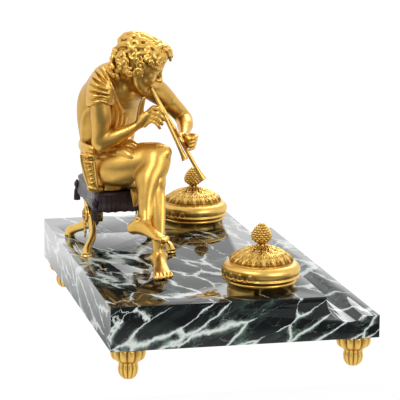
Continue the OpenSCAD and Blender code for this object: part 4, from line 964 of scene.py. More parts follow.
# The left shoulder is bare and runs smoothly down into the arm
LEFT_SHOULDER = [(-47.5, -11, 92, 8, 8), (-43.5, -18, 89, 10.5, 10), (-39.5, -24, 84.6, 10.4, 10),
    (-36.5, -30.5, 79.5, 9.2, 9), (-34.3, -36, 74, 8.4, 8.2)]
HIP_ROLL = [(-15.5, 34, 37, 2, 3.6), (-27.5, 38.8, 38, 2.2, 4.2), (-43.5, 40, 38.6, 2.4, 4.4),
    (-54.5, 37.6, 38.6, 2.4, 4.2), (-58.9, 34, 38.4, 2, 3.6)]
# A place and three radii
SLEEVE_OPENING = ((-63.5, 28.6, 61), (22, 15.6, 20))
RIB_CAGE = ((-31.5, 23, 71), (16, 17.5, 24))
SPINE = [(-13.5, 9, 87, 1.6), (-8.5, 12, 65, 2.6), (-8.5, 15, 41, 2.6), (-8.5, 17, 21, 1.6)]
# The folds of the back: heights down from the nape, the turn of the middle fold there, how far apart the
# folds are turned, and their radii
BACK_FOLDS, BACK_AXIS = 7, np.array([-31.5, 17.0])
BACK_HEIGHTS = np.array([83.0, 73.0, 62.0, 51.0, 41.0])
BACK_TURNS, BACK_PITCH = np.linspace(12, -16, 5), np.linspace(9, 17, 5)
BACK_RADII, BACK_SUNK = [1.0, 1.7, 2.0, 1.7, 1.0], 0.9
# How each kind of line is laid on: its half width, its height over the form, and how softly it joins
PLEAT = {"width": 1.5, "lift": -0.5, "blend": 1.4}
CREASE = {"width": 0.9, "lift": 0.1, "blend": 1.2, "cut": True}
HEM = {"width": 1.4, "lift": 0.2, "blend": 0.5}
HEM_GROOVE = {"width": 0.7, "blend": 0.6, "cut": True}
ROLLED_EDGE = {"width": 1.7, "lift": -0.5, "blend": 1.2}
ROUND_CORD = {"width": 2.0, "lift": -0.6, "blend": 0.6}
CHEST_FOLD = {"width": 1.7, "lift": -0.5, "blend": 1.6}
LAP_FOLD = {"width": 2.4, "lift": -0.4, "blend": 1.8}
# Two corners of what the cushion takes up
BELOW_SEAT = ((-90, -60, -8), (90, 70, 0.2))
# Lines of the dress in the pixels of the 400 x 400 view
SLEEVE_HEM = [(89.6, 106), (91.6, 104), (95, 102.2), (99.4, 101.4), (103.8, 101.6), (107.8, 103.2),
    (110.6, 105.8)]
HEM_DEPTH = 3.2
SLEEVE_CREASES = [[(103.5, 66.5), (107, 71), (111, 77)], [(99, 67.5), (103.5, 73), (108.5, 79.5)],
    [(95, 71), (100, 77), (106, 83)], [(91.8, 77), (97.5, 82), (105, 87)],
    [(90, 84), (96, 87.6), (108, 91.5)], [(89.6, 91.4), (96, 93), (110, 96)]]
SLEEVE_PLEATS = [[(101, 66.6), (105.2, 71.8), (109.6, 78)], [(96.6, 68.8), (101.6, 75), (107, 81)],
    [(93, 74), (98.6, 79.6), (105.6, 85)], [(90.6, 80.6), (96.6, 84.8), (106.4, 89.2)],
    [(89.6, 87.6), (96, 90.2), (109, 93.8)], [(89.6, 95.4), (96, 96.4), (110.6, 99)]]
BACK_EDGE = [(90, 107.6), (86.6, 111.6), (84, 117), (82.4, 124.5), (82, 133), (82.2, 141)]
NECK_CORD = [(108, 78), (110.2, 82.5), (112, 87), (113.4, 91.5), (114.6, 96), (116, 100.4), (118, 104.6),
    (120.6, 108.4), (123.8, 111.4)]
CHEST_FOLDS = [[(112.5, 98), (113, 106), (112, 116), (111, 124)],
    [(116, 104), (117, 112), (116, 120), (114, 127)], [(120, 110), (121, 116), (120, 124)],
    [(124.6, 114.5), (125, 119), (123.4, 125)]]
LAP_FOLDS = [[(104, 151.4), (110, 149), (117, 148), (124, 150), (131, 154), (139, 158.5)],
    [(108, 148.6), (116, 145), (124, 142), (130, 138.5), (137, 136.5)],
    [(118, 151), (124, 152.5), (131, 157), (138, 162)], [(122, 146), (128, 145), (134, 147), (139, 150.5)],
    [(126, 141), (132, 142), (138, 145)]]

wax = Wax((-81.5, -51, -9), (0.5, 53, 113), FINE * 1.24)
# The sleeve ends in an arch over the arm, so it is cut before the body joins it
wax.tube(RIGHT_SLEEVE, blend=3)
wax.ball(*SLEEVE_OPENING, blend=0.6, cut=True)
wax.tube(TORSO, CHEST_SIDE, blend=3)
wax.tube(LAP, LAP_SIDE, blend=6)
# Ribs and shoulder blades under the cloth, and the hollow of the spine between them
wax.ball(*RIB_CAGE, blend=12)
wax.tube(SPINE, blend=7, cut=True)
wax.tube(NAPE, blend=6)
wax.tube(LEFT_SHOULDER, blend=7)
wax.tube(HIP_ROLL, HIP_SIDE, blend=1.5)
for line in SLEEVE_PLEATS:
    wax.draw(line, **PLEAT)
for line in SLEEVE_CREASES:
    wax.draw(line, **CREASE)
wax.draw(SLEEVE_HEM, **HEM)
wax.draw(np.array(SLEEVE_HEM) - (0, HEM_DEPTH), **HEM_GROOVE)
# The back of the tunic is a thick cloth whose rolled edge leaves the right flank bare
wax.draw(BACK_EDGE, **ROLLED_EDGE)
wax.draw(NECK_CORD, **ROUND_CORD)
for line in CHEST_FOLDS:
    wax.draw(line, **CHEST_FOLD)
for line in LAP_FOLDS:
    wax.draw(line, **LAP_FOLD)
# Soft folds fan out down the back from the nape to the belt
for k in range(BACK_FOLDS):
    line = []
    for height, angle in zip(BACK_HEIGHTS, np.radians(BACK_TURNS + (k - (BACK_FOLDS - 1) / 2) * BACK_PITCH)):
        outward = np.array([np.cos(angle), np.sin(angle), 0])
        skin = wax.outermost(np.array([*BACK_AXIS, height]), [outward])[0]
        line.append(skin - BACK_SUNK * outward)
    wax.tube(np.column_stack([line, BACK_RADII]), blend=3, cut=(k % 2 == 0))
wax.clear(*BELOW_SEAT)
sculpted("tunic_and_body", wax, "figure_tunic", 4)


# ---- Figure: head ----
# Cast apart and joined at the neck. The face is a plain ideal one, on the rule of halves and thirds, with
# full cheeks. The hair is modelled lock by lock: waves that fall from the crown and end in curls over brow,
# ears and nape.
HEAD_PLACE = np.array((-65.5, -4.3, 112.5))
HEAD_K = 1.3
HEAD_LOOK = unit(np.array([-0.22, -0.85, -0.42]))
HEAD_UP = unit(np.array([0, 0, 1]) - HEAD_LOOK[2] * HEAD_LOOK)
HEAD_AXES = np.array([np.cross(HEAD_LOOK, HEAD_UP), HEAD_LOOK, HEAD_UP])
NECK = [(-48.5, 6.5, 85, 10, 9.4), (-52.5, 5, 93, 9.4, 9), (-56.5, 2, 101, 9.2, 9), (-60.5, -1, 110, 9, 9)]
SKULL, SKULL_MIDDLE = np.array([12.2, 15.2, 12.4]), np.array([0, -0.6, 5.2])
# Two corners of what the body casting takes up
IN_THE_NECK = ((-90, -60, 70), (90, 70, 86.5))


def on_head(rows):
    """Rows of side, forward and upward places and radii, in the head's own frame, as rows in the figure's."""
    rows = np.atleast_2d(np.asarray(rows, float))
    return np.column_stack([HEAD_PLACE + HEAD_K * rows[:, :3] @ HEAD_AXES, HEAD_K * rows[:, 3:]])


def head_ball(wax, centre, radii, blend, cut=False):
    """An ellipsoid with its place and radii in the head's own frame."""
    wax.ball(on_head([*centre, 1])[0, :3], HEAD_K * np.asarray(radii, float), HEAD_AXES, blend, cut)


wax = Wax((-95.5, -35, 79), (-35.5, 23, 147), FINE * 0.86)
wax.tube(NECK, blend=2)
head_ball(wax, SKULL_MIDDLE, SKULL, 2)
# The mass of the hair, which the locks lie on
head_ball(wax, SKULL_MIDDLE + (0, -2.2, -0.4), SKULL + (1.2, 0.2, 0.8), 2)
wax.tube(on_head([(0, -9.6, 0, 8, 6), (0, -8.6, -6, 7, 5.6), (0, -7.4, -10, 6, 5)]), HEAD_AXES[0], blend=4)
wax.tube(on_head([(0, 3.4, 6, 11, 11), (0, 4.2, 0, 10.6, 10.2), (0, 4.9, -5, 9.6, 9.4),
    (0, 5.7, -10, 7.4, 8.2),
    (0, 7.4, -13.6, 4.8, 5.8), (0, 8.8, -15.6, 3, 3.6)]), HEAD_AXES[0], blend=5)
head_ball(wax, (0, 11.6, -14.6), (3.2, 2.6, 2.4), 3)
for side in (-1, 1):
    # Cheek, jaw, eye socket, eyeball and its lids, brow
    head_ball(wax, (6.2 * side, 9.6, -4.6), (3.6, 3.6, 3.8), 4)
    wax.tube(on_head([(9.4 * side, 1.4, -5.6, 1.8), (7.8 * side, 4.4, -11, 1.8),
        (3.6 * side, 9.4, -14.4, 1.6)]), blend=5)
    head_ball(wax, (5.0 * side, 14.5, 0.3), (3.0, 1.5, 1.6), 2.2, cut=True)
    head_ball(wax, (4.6 * side, 11.7, 0.0), (2.5, 2.3, 1.9), 0.4)
    wax.tube(on_head([(2.5 * side, 13.2, 0.1, 0.4), (3.9 * side, 14.1, 1.2, 0.55),
        (5.6 * side, 13.4, 1.1, 0.5), (7.1 * side, 11.7, 0.0, 0.35)]), blend=0.5)
    wax.tube(on_head([(2.7 * side, 13.1, -0.4, 0.3), (4.4 * side, 13.7, -1.2, 0.4),
        (6.8 * side, 11.9, -0.6, 0.3)]), blend=0.5)
    wax.tube(on_head([(1.6 * side, 14.2, 2.6, 0.7), (4.4 * side, 14.2, 3.5, 0.9),
        (7.8 * side, 11.6, 2.7, 0.6)]), blend=2)
    # Wing of the nose, corner of the mouth, ear
    head_ball(wax, (1.5 * side, 15.0, -4.9), (1.0, 1.5, 0.95), 1.6)
    head_ball(wax, (0.8 * side, 16.0, -5.9), (0.4, 0.6, 0.4), 0.4, cut=True)
    wax.tube(on_head([(11 * side, 1.2, 1.4, 0.7), (12 * side, -1.0, 2.2, 0.9), (12.3 * side, -2.4, 0.0, 0.9),
        (11.8 * side, -1.6, -2.8, 0.9), (10.9 * side, 0.2, -4.8, 1.1)]), blend=1.5)
wax.tube(on_head([(0, 13.9, 3.0, 0.9), (0, 15.2, 0.0, 1.0), (0, 16.7, -3.0, 1.2), (0, 17.2, -4.4, 1.35)]),
    HEAD_AXES[0], blend=2.4)
# Lips, closed softly on the pipes, with the groove above them and the dip below
wax.tube(on_head([(-3.0, 13.1, -9.4, 0.4), (-1.2, 14.5, -9.0, 0.75), (0, 14.6, -9.15, 0.75),
    (1.2, 14.5, -9.0, 0.75), (3.0, 13.1, -9.4, 0.4)]), blend=1.6)
wax.tube(on_head([(-2.6, 13.2, -10.1, 0.5), (0, 14.4, -10.7, 1.0), (2.6, 13.2, -10.1, 0.5)]), blend=1)
wax.tube(on_head([(-3.1, 13.9, -9.6, 0.25), (0, 15.6, -9.8, 0.3), (3.1, 13.9, -9.6, 0.25)]), blend=0.4,
    cut=True)
wax.tube(on_head([(0, 15.6, -6.9, 0.4), (0, 15.6, -8.0, 0.5)]), blend=1, cut=True)
wax.tube(on_head([(-1.6, 14.4, -12.2, 0.6), (1.6, 14.4, -12.2, 0.6)]), blend=2, cut=True)


# Hair over the ears and down the nape, thick at its edge
for side in (-1, 1):
    head_ball(wax, (9.6 * side, -1.6, 0.4), (4.6, 8.6, 7.6), 3)
    head_ball(wax, (7.4 * side, 6.6, 6.6), (4.6, 5.4, 5.6), 3)
head_ball(wax, (0, -9.2, -5.4), (9.4, 6.4, 9.6), 4)
head_ball(wax, (0, 10.4, 12.2), (5.4, 5.2, 4.4), 3)
HAIR_MIDDLE = on_head([0, -1.5, 2.5, 1])[0, :3]


def hair_ways(down, turn):
    """Unit vectors from the middle of the head: degrees from the crown, and degrees round from the brow."""
    down, turn = np.radians(down), np.radians(turn)
    return np.column_stack([np.sin(down) * np.sin(turn), np.sin(down) * np.cos(turn),
        np.cos(down)]) @ HEAD_AXES


def hairline(turn):
    """How far from the crown the hair reaches: high over the brow, down over the ears, and low at the
    nape."""
    return np.interp(abs(turn), [0, 18, 35, 52, 73, 100, 140, 180], [52, 59, 71, 87, 112, 131, 146, 150])


smooth = copy.deepcopy(wax)


def strand(down, turn, length, sway, thick):
    """A long lock that waves as it falls over the smooth mass, and thins out at both ends."""
    share = np.linspace(0, 1, 9)
    downs = down + length * share
    turns = turn + sway * np.sin(share * 6.4 + 0.1 * turn) / np.maximum(np.sin(np.radians(downs)), 0.25)
    ways = hair_ways(downs, turns)
    places = smooth.outermost(HAIR_MIDDLE, ways)
    radius = thick * (0.45 + 0.55 * np.sin(np.pi * (0.12 + 0.8 * share)))
    wax.tube(np.column_stack([places - 0.2 * ways, radius]), blend=0.35, steps=3)


def curl(down, turn, size, hand, spin):
    """A lock that comes down and winds up like a snail, raised towards its middle."""
    way = hair_ways([down], [turn])[0]
    middle = smooth.outermost(HAIR_MIDDLE, [way])[0]
    fall = unit(hair_ways([down + 4], [turn])[0] - way)
    aside = np.cross(way, fall)
    share = np.linspace(0, 1, 13)
    angle = spin + hand * share * 2 * np.pi * 1.25
    away = size * (1 - 0.85 * share ** 1.1)
    places = middle + away[:, None] * (np.cos(angle)[:, None] * fall + np.sin(angle)[:, None] * aside)
    places += way * (size * (0.05 + 0.45 * share))[:, None]
    wax.ball(middle + way * size * 0.05, [size * 0.56] * 3, blend=0.3)
    wax.tube(np.column_stack([places, size * 0.34 * (1 - 0.25 * share)]), blend=0.25, steps=2)


# The courses of waves: how many locks, where they start, their length in degrees and their radius
WAVES = ((9, 4, 30, 2.6), (15, 24, 32, 2.9), (19, 44, 32, 3.0))
WAVE_SWAY = 9
CURL_ROWS, CURLS_ROUND, CURL_R = 4, 15, 4.4
# Steps of this share of a turn never fall into step, so they keep the locks from looking alike
GOLDEN = 0.618
# Degrees from the crown and round from the brow, and the size
BROW_KNOT = ((47, 10, 5.0), (46, -16, 4.6), (58, -3, 4.2), (60, 24, 4.2), (60, -28, 4.2))

# Waves that fall from the crown in three courses, then rows of curls, the last along the hairline
for count, down, length, thick in WAVES:
    for k in range(count):
        stray = (k * GOLDEN) % 1
        turn = 360 * (k + 0.3 * stray) / count - 180
        strand(down + 7 * stray, turn, min(length, hairline(turn) - down - 4), WAVE_SWAY, thick)
for row in range(CURL_ROWS):
    for k in range(CURLS_ROUND):
        stray = ((row * CURLS_ROUND + k) * GOLDEN) % 1 - 0.5
        turn = (360 * (k + 0.5 * (row % 2)) / CURLS_ROUND + 9 * stray + 180) % 360 - 180
        down = hairline(turn) - 3 - 16 * row + 5 * stray
        far_temple = -95 < turn < -35 and down > 90
        if not far_temple and (down > 72 or (row < 1 and abs(turn) < 60)):
            curl(down, turn, CURL_R + 1.2 * stray, 1 if (row + k) % 3 else -1, 2.4 * k)
# The knot over the brow
for down, turn, size in BROW_KNOT:
    curl(down, turn, size, 1 if turn > 0 else -1, 0.1 * down)
wax.clear(*IN_THE_NECK)
sculpted("head_and_hair", wax, "figure_head", 2)

# ---- Figure: arms and hands ----
# Bare arms, cast apart and let into the sleeve and the shoulder. The right hand holds the pipes below the
# mouth with its thumb raised, and the left reaches round to the lower holes.
RIGHT_UPPER_ARM = [(-59.5, 28, 88, 8.6, 8.4), (-60, 27.8, 76, 8.9, 8.2), (-60.1, 27.6, 65, 8.4, 8),
    (-59.7, 27.6, 54, 7.3, 7.4), (-59.1, 27.8, 47, 6.9, 7.1), (-59, 27.4, 43.5, 5.6, 6)]
RIGHT_FOREARM = [(-59.1, 29.2, 43.4, 5, 5), (-59.5, 26.6, 44.2, 7, 7), (-60.1, 19.9, 47.6, 7.4, 6.9),
    (-61.1, 13.6, 50.6, 7.2, 6.6), (-63.1, 6.4, 54.2, 5.9, 5.3), (-65.1, -1.4, 58.8, 4.2, 3.8),
    (-66.3, -5.2, 61.8, 4.2, 4.4), (-67.3, -8.6, 64.6, 3.9, 5.4), (-68.5, -12.2, 67.4, 3.6, 5.6)]
RIGHT_THUMB = [(-65.3, -5, 64.4, 3.2), (-65.9, -5.2, 70.2, 2.8), (-66.9, -5.8, 75.6, 2.4),
    (-67.9, -6.8, 80.2, 2.1), (-68.5, -7.8, 83.6, 1.5)]
RIGHT_FINGER = [(-69.1, -11.6, 71.2, 2.2), (-72.5, -15, 75.2, 2.1), (-75.9, -18.6, 75.2, 1.9),
    (-77.5, -21.2, 72.4, 1.8), (-76.9, -22.8, 70, 1.5)]
# Where each finger lies from the first, fanned out from the wrist
RIGHT_FAN = [(0, 0, 0), (0, 0.2, -4.2), (0.1, 1.4, -8), (0.4, 3.2, -11.4)]
LEFT_FAN = [(0, 0, 0), (-0.1, 0.75, -3.1), (-0.2, 1.5, -6.2), (-0.3, 2.25, -9.3)]
LEFT_UPPER_ARM = [(-38.5, -23, 87, 8.8, 8.6), (-36, -31, 79.6, 8.6, 8.4), (-33, -41, 69.5, 7.9, 7.7),
    (-30.5, -49, 61, 7, 6.9), (-29.7, -52.4, 56.6, 5.4, 5.4)]
LEFT_FOREARM = [(-27.9, -52.4, 56.4, 5, 5), (-30.9, -51.4, 56.6, 6.9, 6.7), (-38.5, -50, 55.4, 7.2, 6.8),
    (-48.5, -47.5, 53, 6.2, 5.8), (-57.5, -45, 50.6, 4.7, 4.3), (-64.5, -43, 48.6, 4.6, 3.5),
    (-69.5, -44.4, 46.8, 5.4, 3.3), (-73.1, -46.6, 45.4, 5, 2.6)]
LEFT_THUMB = [(-66.5, -41.4, 50.6, 1.9), (-71.5, -38.4, 51.2, 2), (-75.5, -37.8, 49.4, 1.9),
    (-78.5, -39.4, 46.6, 1.5)]
LEFT_FINGER = [(-69.1, -45.6, 50.2, 1.9), (-73.9, -49.2, 51.2, 1.8), (-78.5, -50.8, 51, 1.7),
    (-81.5, -49, 50.6, 1.6), (-82.9, -45.8, 50, 1.3)]


RIGHT_NAILS, LEFT_NAILS = (-0.7, -0.6, 0.4), (-0.8, 0.5, 0.1)
FINGER_SHARES = (1, 1.02, 0.97, 0.84)
KNUCKLE_SHARE, NAIL_R = 1.08, 0.95
RIGHT_ARM_DETAILS = {
    "biceps": ((-61.5, 25.4, 67), (5.6, 5.6, 11), 4),
    "triceps": ((-56.1, 29.6, 69), (5.4, 5, 11), 4),
    "point of the elbow": ((-57.9, 30, 43.6), (3.2, 3, 3), 3),
    "muscle of the forearm": ((-62.1, 19, 48.4), (3.8, 7.6, 4.2), 4),
}
LEFT_ARM_DETAILS = {
    "biceps": ((-36.5, -35, 73), (6, 7, 7), 4),
    "point of the elbow": ((-28.9, -52.6, 56.2), (3.4, 3, 3.4), 3),
    "muscle of the forearm": ((-41.5, -50, 55.6), (8, 5, 5.2), 4),
}


def hand(wax, finger, fan, thumb, nails):
    """A finger for each place of the fan, and a thumb. nails is the way that the fingernails face."""
    nails = unit(np.asarray(nails, float))
    for place, thick in zip(fan, FINGER_SHARES):
        rows = np.asarray(finger, float).copy()
        rows[:, :3] += place
        rows[:, 3] *= thick
        wax.tube(rows, blend=0.4, steps=3)
        # Knuckles and the nail's edge
        for joint in (1, 2):
            wax.ball(rows[joint, :3], [rows[joint, 3] * KNUCKLE_SHARE] * 3, blend=0.6)
        tip = rows[-1, :3] + nails * rows[-1, 3] * 0.75
        wax.ball(tip, [NAIL_R] * 3, blend=0.3)
    wax.tube(thumb, blend=1.0, steps=3)


wax = Wax((-87.5, -33, 33), (-45.5, 41, 95), FINE * 0.8)
wax.tube(RIGHT_UPPER_ARM, blend=3)
wax.tube(RIGHT_FOREARM, blend=3.5)
add_details(wax, RIGHT_ARM_DETAILS)
hand(wax, RIGHT_FINGER, RIGHT_FAN, RIGHT_THUMB, RIGHT_NAILS)
sculpted("right_arm", wax, "figure_right_arm", 4)

wax = Wax((-93.5, -63, 29), (-15.5, -9, 97), FINE * 0.8)
wax.tube(LEFT_UPPER_ARM, blend=3)
wax.tube(LEFT_FOREARM, (0, 0, 1), blend=3.5)
add_details(wax, LEFT_ARM_DETAILS)
hand(wax, LEFT_FINGER, LEFT_FAN, LEFT_THUMB, LEFT_NAILS)
sculpted("left_arm", wax, "figure_left_arm", 4)

# ---- Figure: legs and feet ----
# Bare legs: the left foot stands on the marble, and the right leg is thrown over the left knee with its foot
# free.
RIGHT_THIGH = [(-31.5, 22.5, 19, 12, 13), (-39.5, 19.5, 20.5, 15.6, 16.6), (-50.5, 10, 22, 17, 17.2),
    (-60.5, -3, 25.6, 16.6, 15.6), (-68.5, -14, 31, 13.8, 13), (-72.5, -18.4, 33.6, 11, 11.4)]
RIGHT_SHIN = [(-71.5, -19, 36.2, 7.6, 7.6), (-74.5, -17.4, 31, 11, 11), (-78, -15.4, 25, 11, 10.8),
    (-81.5, -10.6, 17, 10.4, 10.4), (-85, -7.6, 8, 8.4, 9.2), (-88.5, -5.8, -1, 6.9, 7.8),
    (-92, -4.8, -9, 5.8, 6.4), (-95.5, -4, -16, 5.3, 6), (-97.5, -3, -21, 5, 5.8)]
RIGHT_FOOT = [(-90.5, 7.4, -22.2, 2.8, 3.6), (-93, 5.4, -22.2, 4.6, 5.2), (-98, 1, -21.5, 5, 5.8),
    (-104.5, -3.6, -22.4, 5.4, 5), (-111.5, -8.4, -25, 6.1, 3.7), (-116.5, -11.8, -26.8, 6.2, 2.7)]
RIGHT_SOLE_SIDE = (-0.58, 0.81, 0)
LEFT_THIGH = [(-27.5, 2, 15, 13, 14), (-37.5, -1, 16, 15.5, 15.5), (-55.5, -7.4, 16, 14.4, 15),
    (-68.5, -11.8, 16, 12, 13), (-76.5, -14, 15.5, 10.2, 11.4), (-80.5, -15, 14.6, 7, 8)]
LEFT_SHIN = [(-73.5, -14.4, 21, 7, 7), (-78.5, -14.4, 14, 9.4, 10.4), (-83.5, -14.2, 4, 8.4, 9.6),
    (-89.5, -14, -9, 7.3, 8.8), (-95.5, -13.8, -23, 6.2, 7.2), (-99.9, -13.6, -34, 5.2, 5.8),
    (-102.5, -13.5, -43, 5, 5.7), (-102, -13.5, -50, 5.8, 7)]
LEFT_FOOT = [(-92.1, -14.6, -52.4, 3, 3.6), (-95.5, -14.3, -51.4, 5, 5.4), (-103.5, -13.8, -49.4, 5.7, 7),
    (-111.5, -13, -50.8, 5.8, 5.8), (-119.5, -12.3, -52.8, 6.6, 4.2), (-126.5, -11.8, -54.1, 7.4, 3.2),
    (-130.5, -11.5, -54.6, 7.4, 2.6)]
TOES = 5
# The row of the great toe
RIGHT_TOES = [(-115.5, -12.1, -26.8), (-120.5, -15, -26.4), (-123.1, -16.6, -28)]
LEFT_TOES = [(-128.5, -11.5, -54.3), (-134.5, -11.3, -53.8), (-138.7, -11, -55.1)]
# Two corners of the marble under the standing foot
IN_THE_MARBLE = ((-160, -60, -80), (90, 70, -57))
RIGHT_LEG_DETAILS = {
    "kneecap": ((-77.5, -24.4, 38.4), (5.4, 5.4, 5), 3.5),
    "muscle over the knee": ([(-63.5, -8, 39.4, 4, 4), (-70.5, -17, 39.6, 4, 4),
        (-75.5, -22.4, 39, 3, 3)], 5),
    "ridge of the shin": ([(-79.5, -24.8, 30, 2), (-82, -23, 24, 1.8), (-86.5, -17.8, 15, 1.6),
        (-91.1, -12.6, 2, 1.4), (-95.5, -8.4, -11, 1.2)], 4),
    "calf": ((-78.5, -4.4, 15), (6, 5.2, 9), 5),
    "inner ankle": ((-101.1, -5.4, -18), (2.3, 2.1, 2.5), 2),
    "outer ankle": ((-94.5, 1.4, -17.6), (2.3, 2.1, 2.6), 2),
    "heel": ((-91.7, 6.2, -23.6), (3.8, 3.8, 4), 3),
    "tendon of the heel": ([(-96.5, 3.6, -13, 1.2), (-93.9, 5.6, -19, 1.6)], 3),
}
LEFT_LEG_DETAILS = {
    "kneecap": ((-84.9, -16.4, 16), (4.4, 4.8, 5.6), 4),
    "ridge of the shin": ([(-91.1, -19.4, 5, 1.6), (-96.5, -18.4, -9, 1.5), (-101.9, -16.6, -25, 1.3),
        (-105.1, -15.4, -35, 1.1)], 4),
    "calf": ((-78.5, -11.6, 1), (7, 5.6, 11), 5),
    "outer ankle": ((-102.5, -19.4, -45.4), (2.5, 2.1, 2.9), 2),
    "inner ankle": ((-103.1, -8, -46.6), (2.5, 2.1, 2.9), 2),
    "heel": ((-94.1, -14.4, -52.6), (4.2, 4.4, 4.4), 3),
    "tendon of the heel": ([(-97.1, -14, -37, 1.6), (-95.3, -14.2, -45, 1.8)], 3),
}


def toes(wax, rows, side, spread, shorter, radius):
    """Five toes fanned along side, each shorter than the great toe, with its pad, its joint and its nail."""
    side = np.asarray(side, float)
    for k in range(TOES):
        toe = np.asarray(rows, float).copy()
        away = spread * (1 - k / 2)
        toe[:, :3] += away * side * np.linspace(1, 1.14, len(toe))[:, None]
        back = toe[0, :3] - toe[-1, :3]
        toe[1:, :3] += back * shorter[k] * np.linspace(0.5, 1, len(toe) - 1)[:, None]
        thick = radius * (1.25 if k == 0 else 1 - 0.06 * k)
        wax.tube(np.column_stack([toe, thick * np.linspace(1, 0.86, len(toe))]), blend=0.8, steps=3)
        wax.ball(toe[-1, :3], [thick * 1.02] * 3, blend=0.6)
        nail = toe[-1, :3] + np.array([0, 0, thick * 0.75]) - 0.3 * thick * unit(back)
        wax.ball(nail, (thick * 0.5, thick * 0.5, 0.5), blend=0.15)


wax = Wax((-129.5, -33, -35), (-15.5, 47, 51), FINE * 0.9)
wax.tube(RIGHT_THIGH, (0, 0, 1), blend=3, steps=9)
wax.tube(RIGHT_SHIN, (0, 1, 0), blend=4, steps=7)
wax.tube(RIGHT_FOOT, RIGHT_SOLE_SIDE, blend=3.5)
add_details(wax, RIGHT_LEG_DETAILS)
toes(wax, RIGHT_TOES, (-0.6, 0.83, 0), 4.5, (0, 0.04, 0.16, 0.3, 0.46), 1.6)
sculpted("right_leg", wax, "figure_right_leg", 5)

wax = Wax((-145.5, -31, -61), (-11.5, 19, 37), FINE * 0.9)
wax.tube(LEFT_THIGH, (0, 1, 0), blend=3)
wax.tube(LEFT_SHIN, (0, 1, 0), blend=4, steps=7)
wax.tube(LEFT_FOOT, (0, 1, 0), blend=3.5)
add_details(wax, LEFT_LEG_DETAILS)
toes(wax, LEFT_TOES, (0, 1, 0), 6.2, (0, 0.03, 0.14, 0.28, 0.44), 1.95)
wax.clear(*IN_THE_MARBLE)
sculpted("left_leg", wax, "figure_left_leg", 5)

# ---- Figure: hem and fold ----
# Behind the hip the tunic's hem ends in an ornamented strip with corded edges and a row of bosses, and a tab
# under it. Between the thighs a pointed fold hangs over the cushion's edge.
TAIL = [(-55.5, 38, 34, 6.5, 1.7), (-54.9, 37.2, 27, 6.4, 1.7), (-53.9, 35.6, 19, 5.6, 1.7),
    (-52.5, 33.8, 11, 5, 1.7), (-49.5, 31.8, 5, 4.6, 1.8)]
TAIL_SIDE = unit(np.array([0.35, 0.93, 0]))
TAIL_OUT = unit(np.array([-0.93, 0.35, 0]))
TAB = [(-51.5, 36, 4.6, 2.4, 1.8), (-50.5, 32, 3.8, 3.1, 2.4), (-49.5, 27.4, 3.2, 3.3, 2.4),
    (-47.5, 23.6, 2.4, 2.6, 1.8)]
BOSSES, BOSS, SMALL_BOSS, EDGE_CORD_R = 8, (1.5, 1.5, 1.3), (0.9, 0.9, 0.9), 0.8
CROSS_CORD, CORD_HEIGHTS = [(-52.5, 42, 0, 0.9), (-57.9, 38.6, 0, 0.9), (-60.5, 34.4, 0, 0.9)], (28.4, 33.8)
FOLD = [(-41.5, -10, 1.4, 2.6, 9), (-46.8, -9.5, 0.4, 2.3, 9.2), (-48.9, -8.5, -4, 1.7, 8.6),
    (-49, -6.5, -9, 1.4, 5.6), (-48.7, -4.5, -13, 1, 1.6)]
FOLD_SIDE = (1, 0, 0.3)
# Ridges and grooves by turns run from over the cushion's edge down to the fold's tip
FOLD_START, FOLD_MIDDLE, FOLD_TIP = np.array([(-49.5, -8.5, 2), (-51.1, -7.5, -6), (-50.6, -4, -14.4)])
FOLD_SHIFTS = (5.4, 1.8, -1.8, -5.4)

wax = Wax((-73.5, 21, -5), (-31.5, 49, 41), FINE * 0.8)
wax.tube(TAIL, TAIL_SIDE, blend=1)
wax.tube(TAB, (0, 0, 1), blend=1)
path = curve_through(TAIL, 4)
for side in (-1, 1):
    edge = path[:, :3] + side * TAIL_SIDE * path[:, 3:4] * 0.9 + TAIL_OUT * 0.9
    wax.tube(np.column_stack([edge, np.full(len(edge), EDGE_CORD_R)]), blend=0.4, steps=1)
for share in (np.arange(BOSSES) + 0.5) / BOSSES:
    row = path[int(share * (len(path) - 1))]
    wax.ball(row[:3] + TAIL_OUT * row[4] * 0.9, BOSS, blend=0.3)
    for side in (-1, 1):
        beside = row[:3] + TAIL_OUT * row[4] * 0.8 + side * TAIL_SIDE * 2.6
        wax.ball(beside + np.array([0, 0, 1.2]), SMALL_BOSS, blend=0.2)
# Two cords cross the strip below the belt
for height in CORD_HEIGHTS:
    band = np.array(CROSS_CORD)
    band[:, 2] += height
    wax.tube(band, blend=0.4)
sculpted("tunic_tail_strip", wax, "tunic_tail", 2)

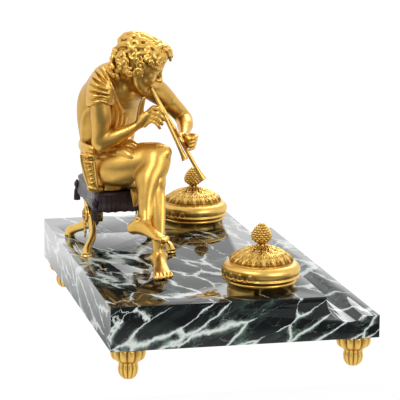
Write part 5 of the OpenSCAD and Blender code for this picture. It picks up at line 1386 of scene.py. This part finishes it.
wax = Wax((-59.5, -23, -19), (-33.5, 5, 7), FINE * 0.8)
wax.tube(FOLD, FOLD_SIDE, blend=1)
for k in range(len(FOLD_SHIFTS)):
    shift = np.array([0, FOLD_SHIFTS[k], 0])
    start, middle, tip = FOLD_START + 1.4 * shift, FOLD_MIDDLE + shift, FOLD_TIP + 0.15 * shift
    wax.tube([(*start, 0.9), (*middle, 0.9), (*tip, 0.5)], blend=0.9, cut=(k % 2 == 1))
sculpted("tunic_fold", wax, "tunic_front_fold", 3)

# ---- Double pipe ----
# Two turned gilt tubes of unequal length, held to one mouth. Each has a ring at its joint and opens in a
# small bell.
PIPE_R, PIPE_BELL_R = 1.45, 3.2
PIPES = {
    "long_pipe": ((-68.5, -13.6, 92.4), (-75.5, -57.8, 12.9)),
    "short_pipe": ((-71.3, -13.6, 92), (-78.5, -41.4, 31.5)),
}
# Share of a pipe's length, and its radius there
PIPE_PROFILE = [(0, 0), (0, 0.7), (0.004, 0.8), (0.25, 1.0), (0.415, 1.0), (0.42, 1.28), (0.44, 1.34),
    (0.46, 1.28), (0.465, 1.05), (0.70, 1.13), (0.86, 1.22), (0.93, 1.5), (0.97, 1.85)]

for name, (top, end) in PIPES.items():
    top, end = np.array(top, float), np.array(end, float)
    long = np.linalg.norm(end - top)
    along = (end - top) / long
    aside = unit(np.cross((1, 0, 0), along))
    behind = np.cross(along, aside)
    outer = [(share * long, PIPE_R * radius) for share, radius in PIPE_PROFILE]
    bell = [(0.988 * long, PIPE_BELL_R - 0.25), (0.996 * long, PIPE_BELL_R), (long, PIPE_BELL_R - 0.1),
        (long - 0.2, PIPE_BELL_R - 0.6), (0.96 * long, 1.6), (0.9 * long, 1.0), (0.88 * long, 0)]
    profile = np.array(outer + bell)[:, ::-1]
    grid = revolved(profile, 40)
    grid = top + grid[..., :1] * aside + grid[..., 1:2] * behind + grid[..., 2:] * along
    # The inside of each bell is painted darker, as shade
    inside = np.repeat(np.concatenate([np.zeros(len(outer) + 3), [0.3, 0.7, 1, 1]]), 40)
    made = cast("played_" + name, [closed(grid + SEAT)], np.append(inside, [0, 1]))
    place_piece(made, TURNED_GILT, replaces=[name])
    made.data.set_sharp_from_angle(angle=math.radians(40))
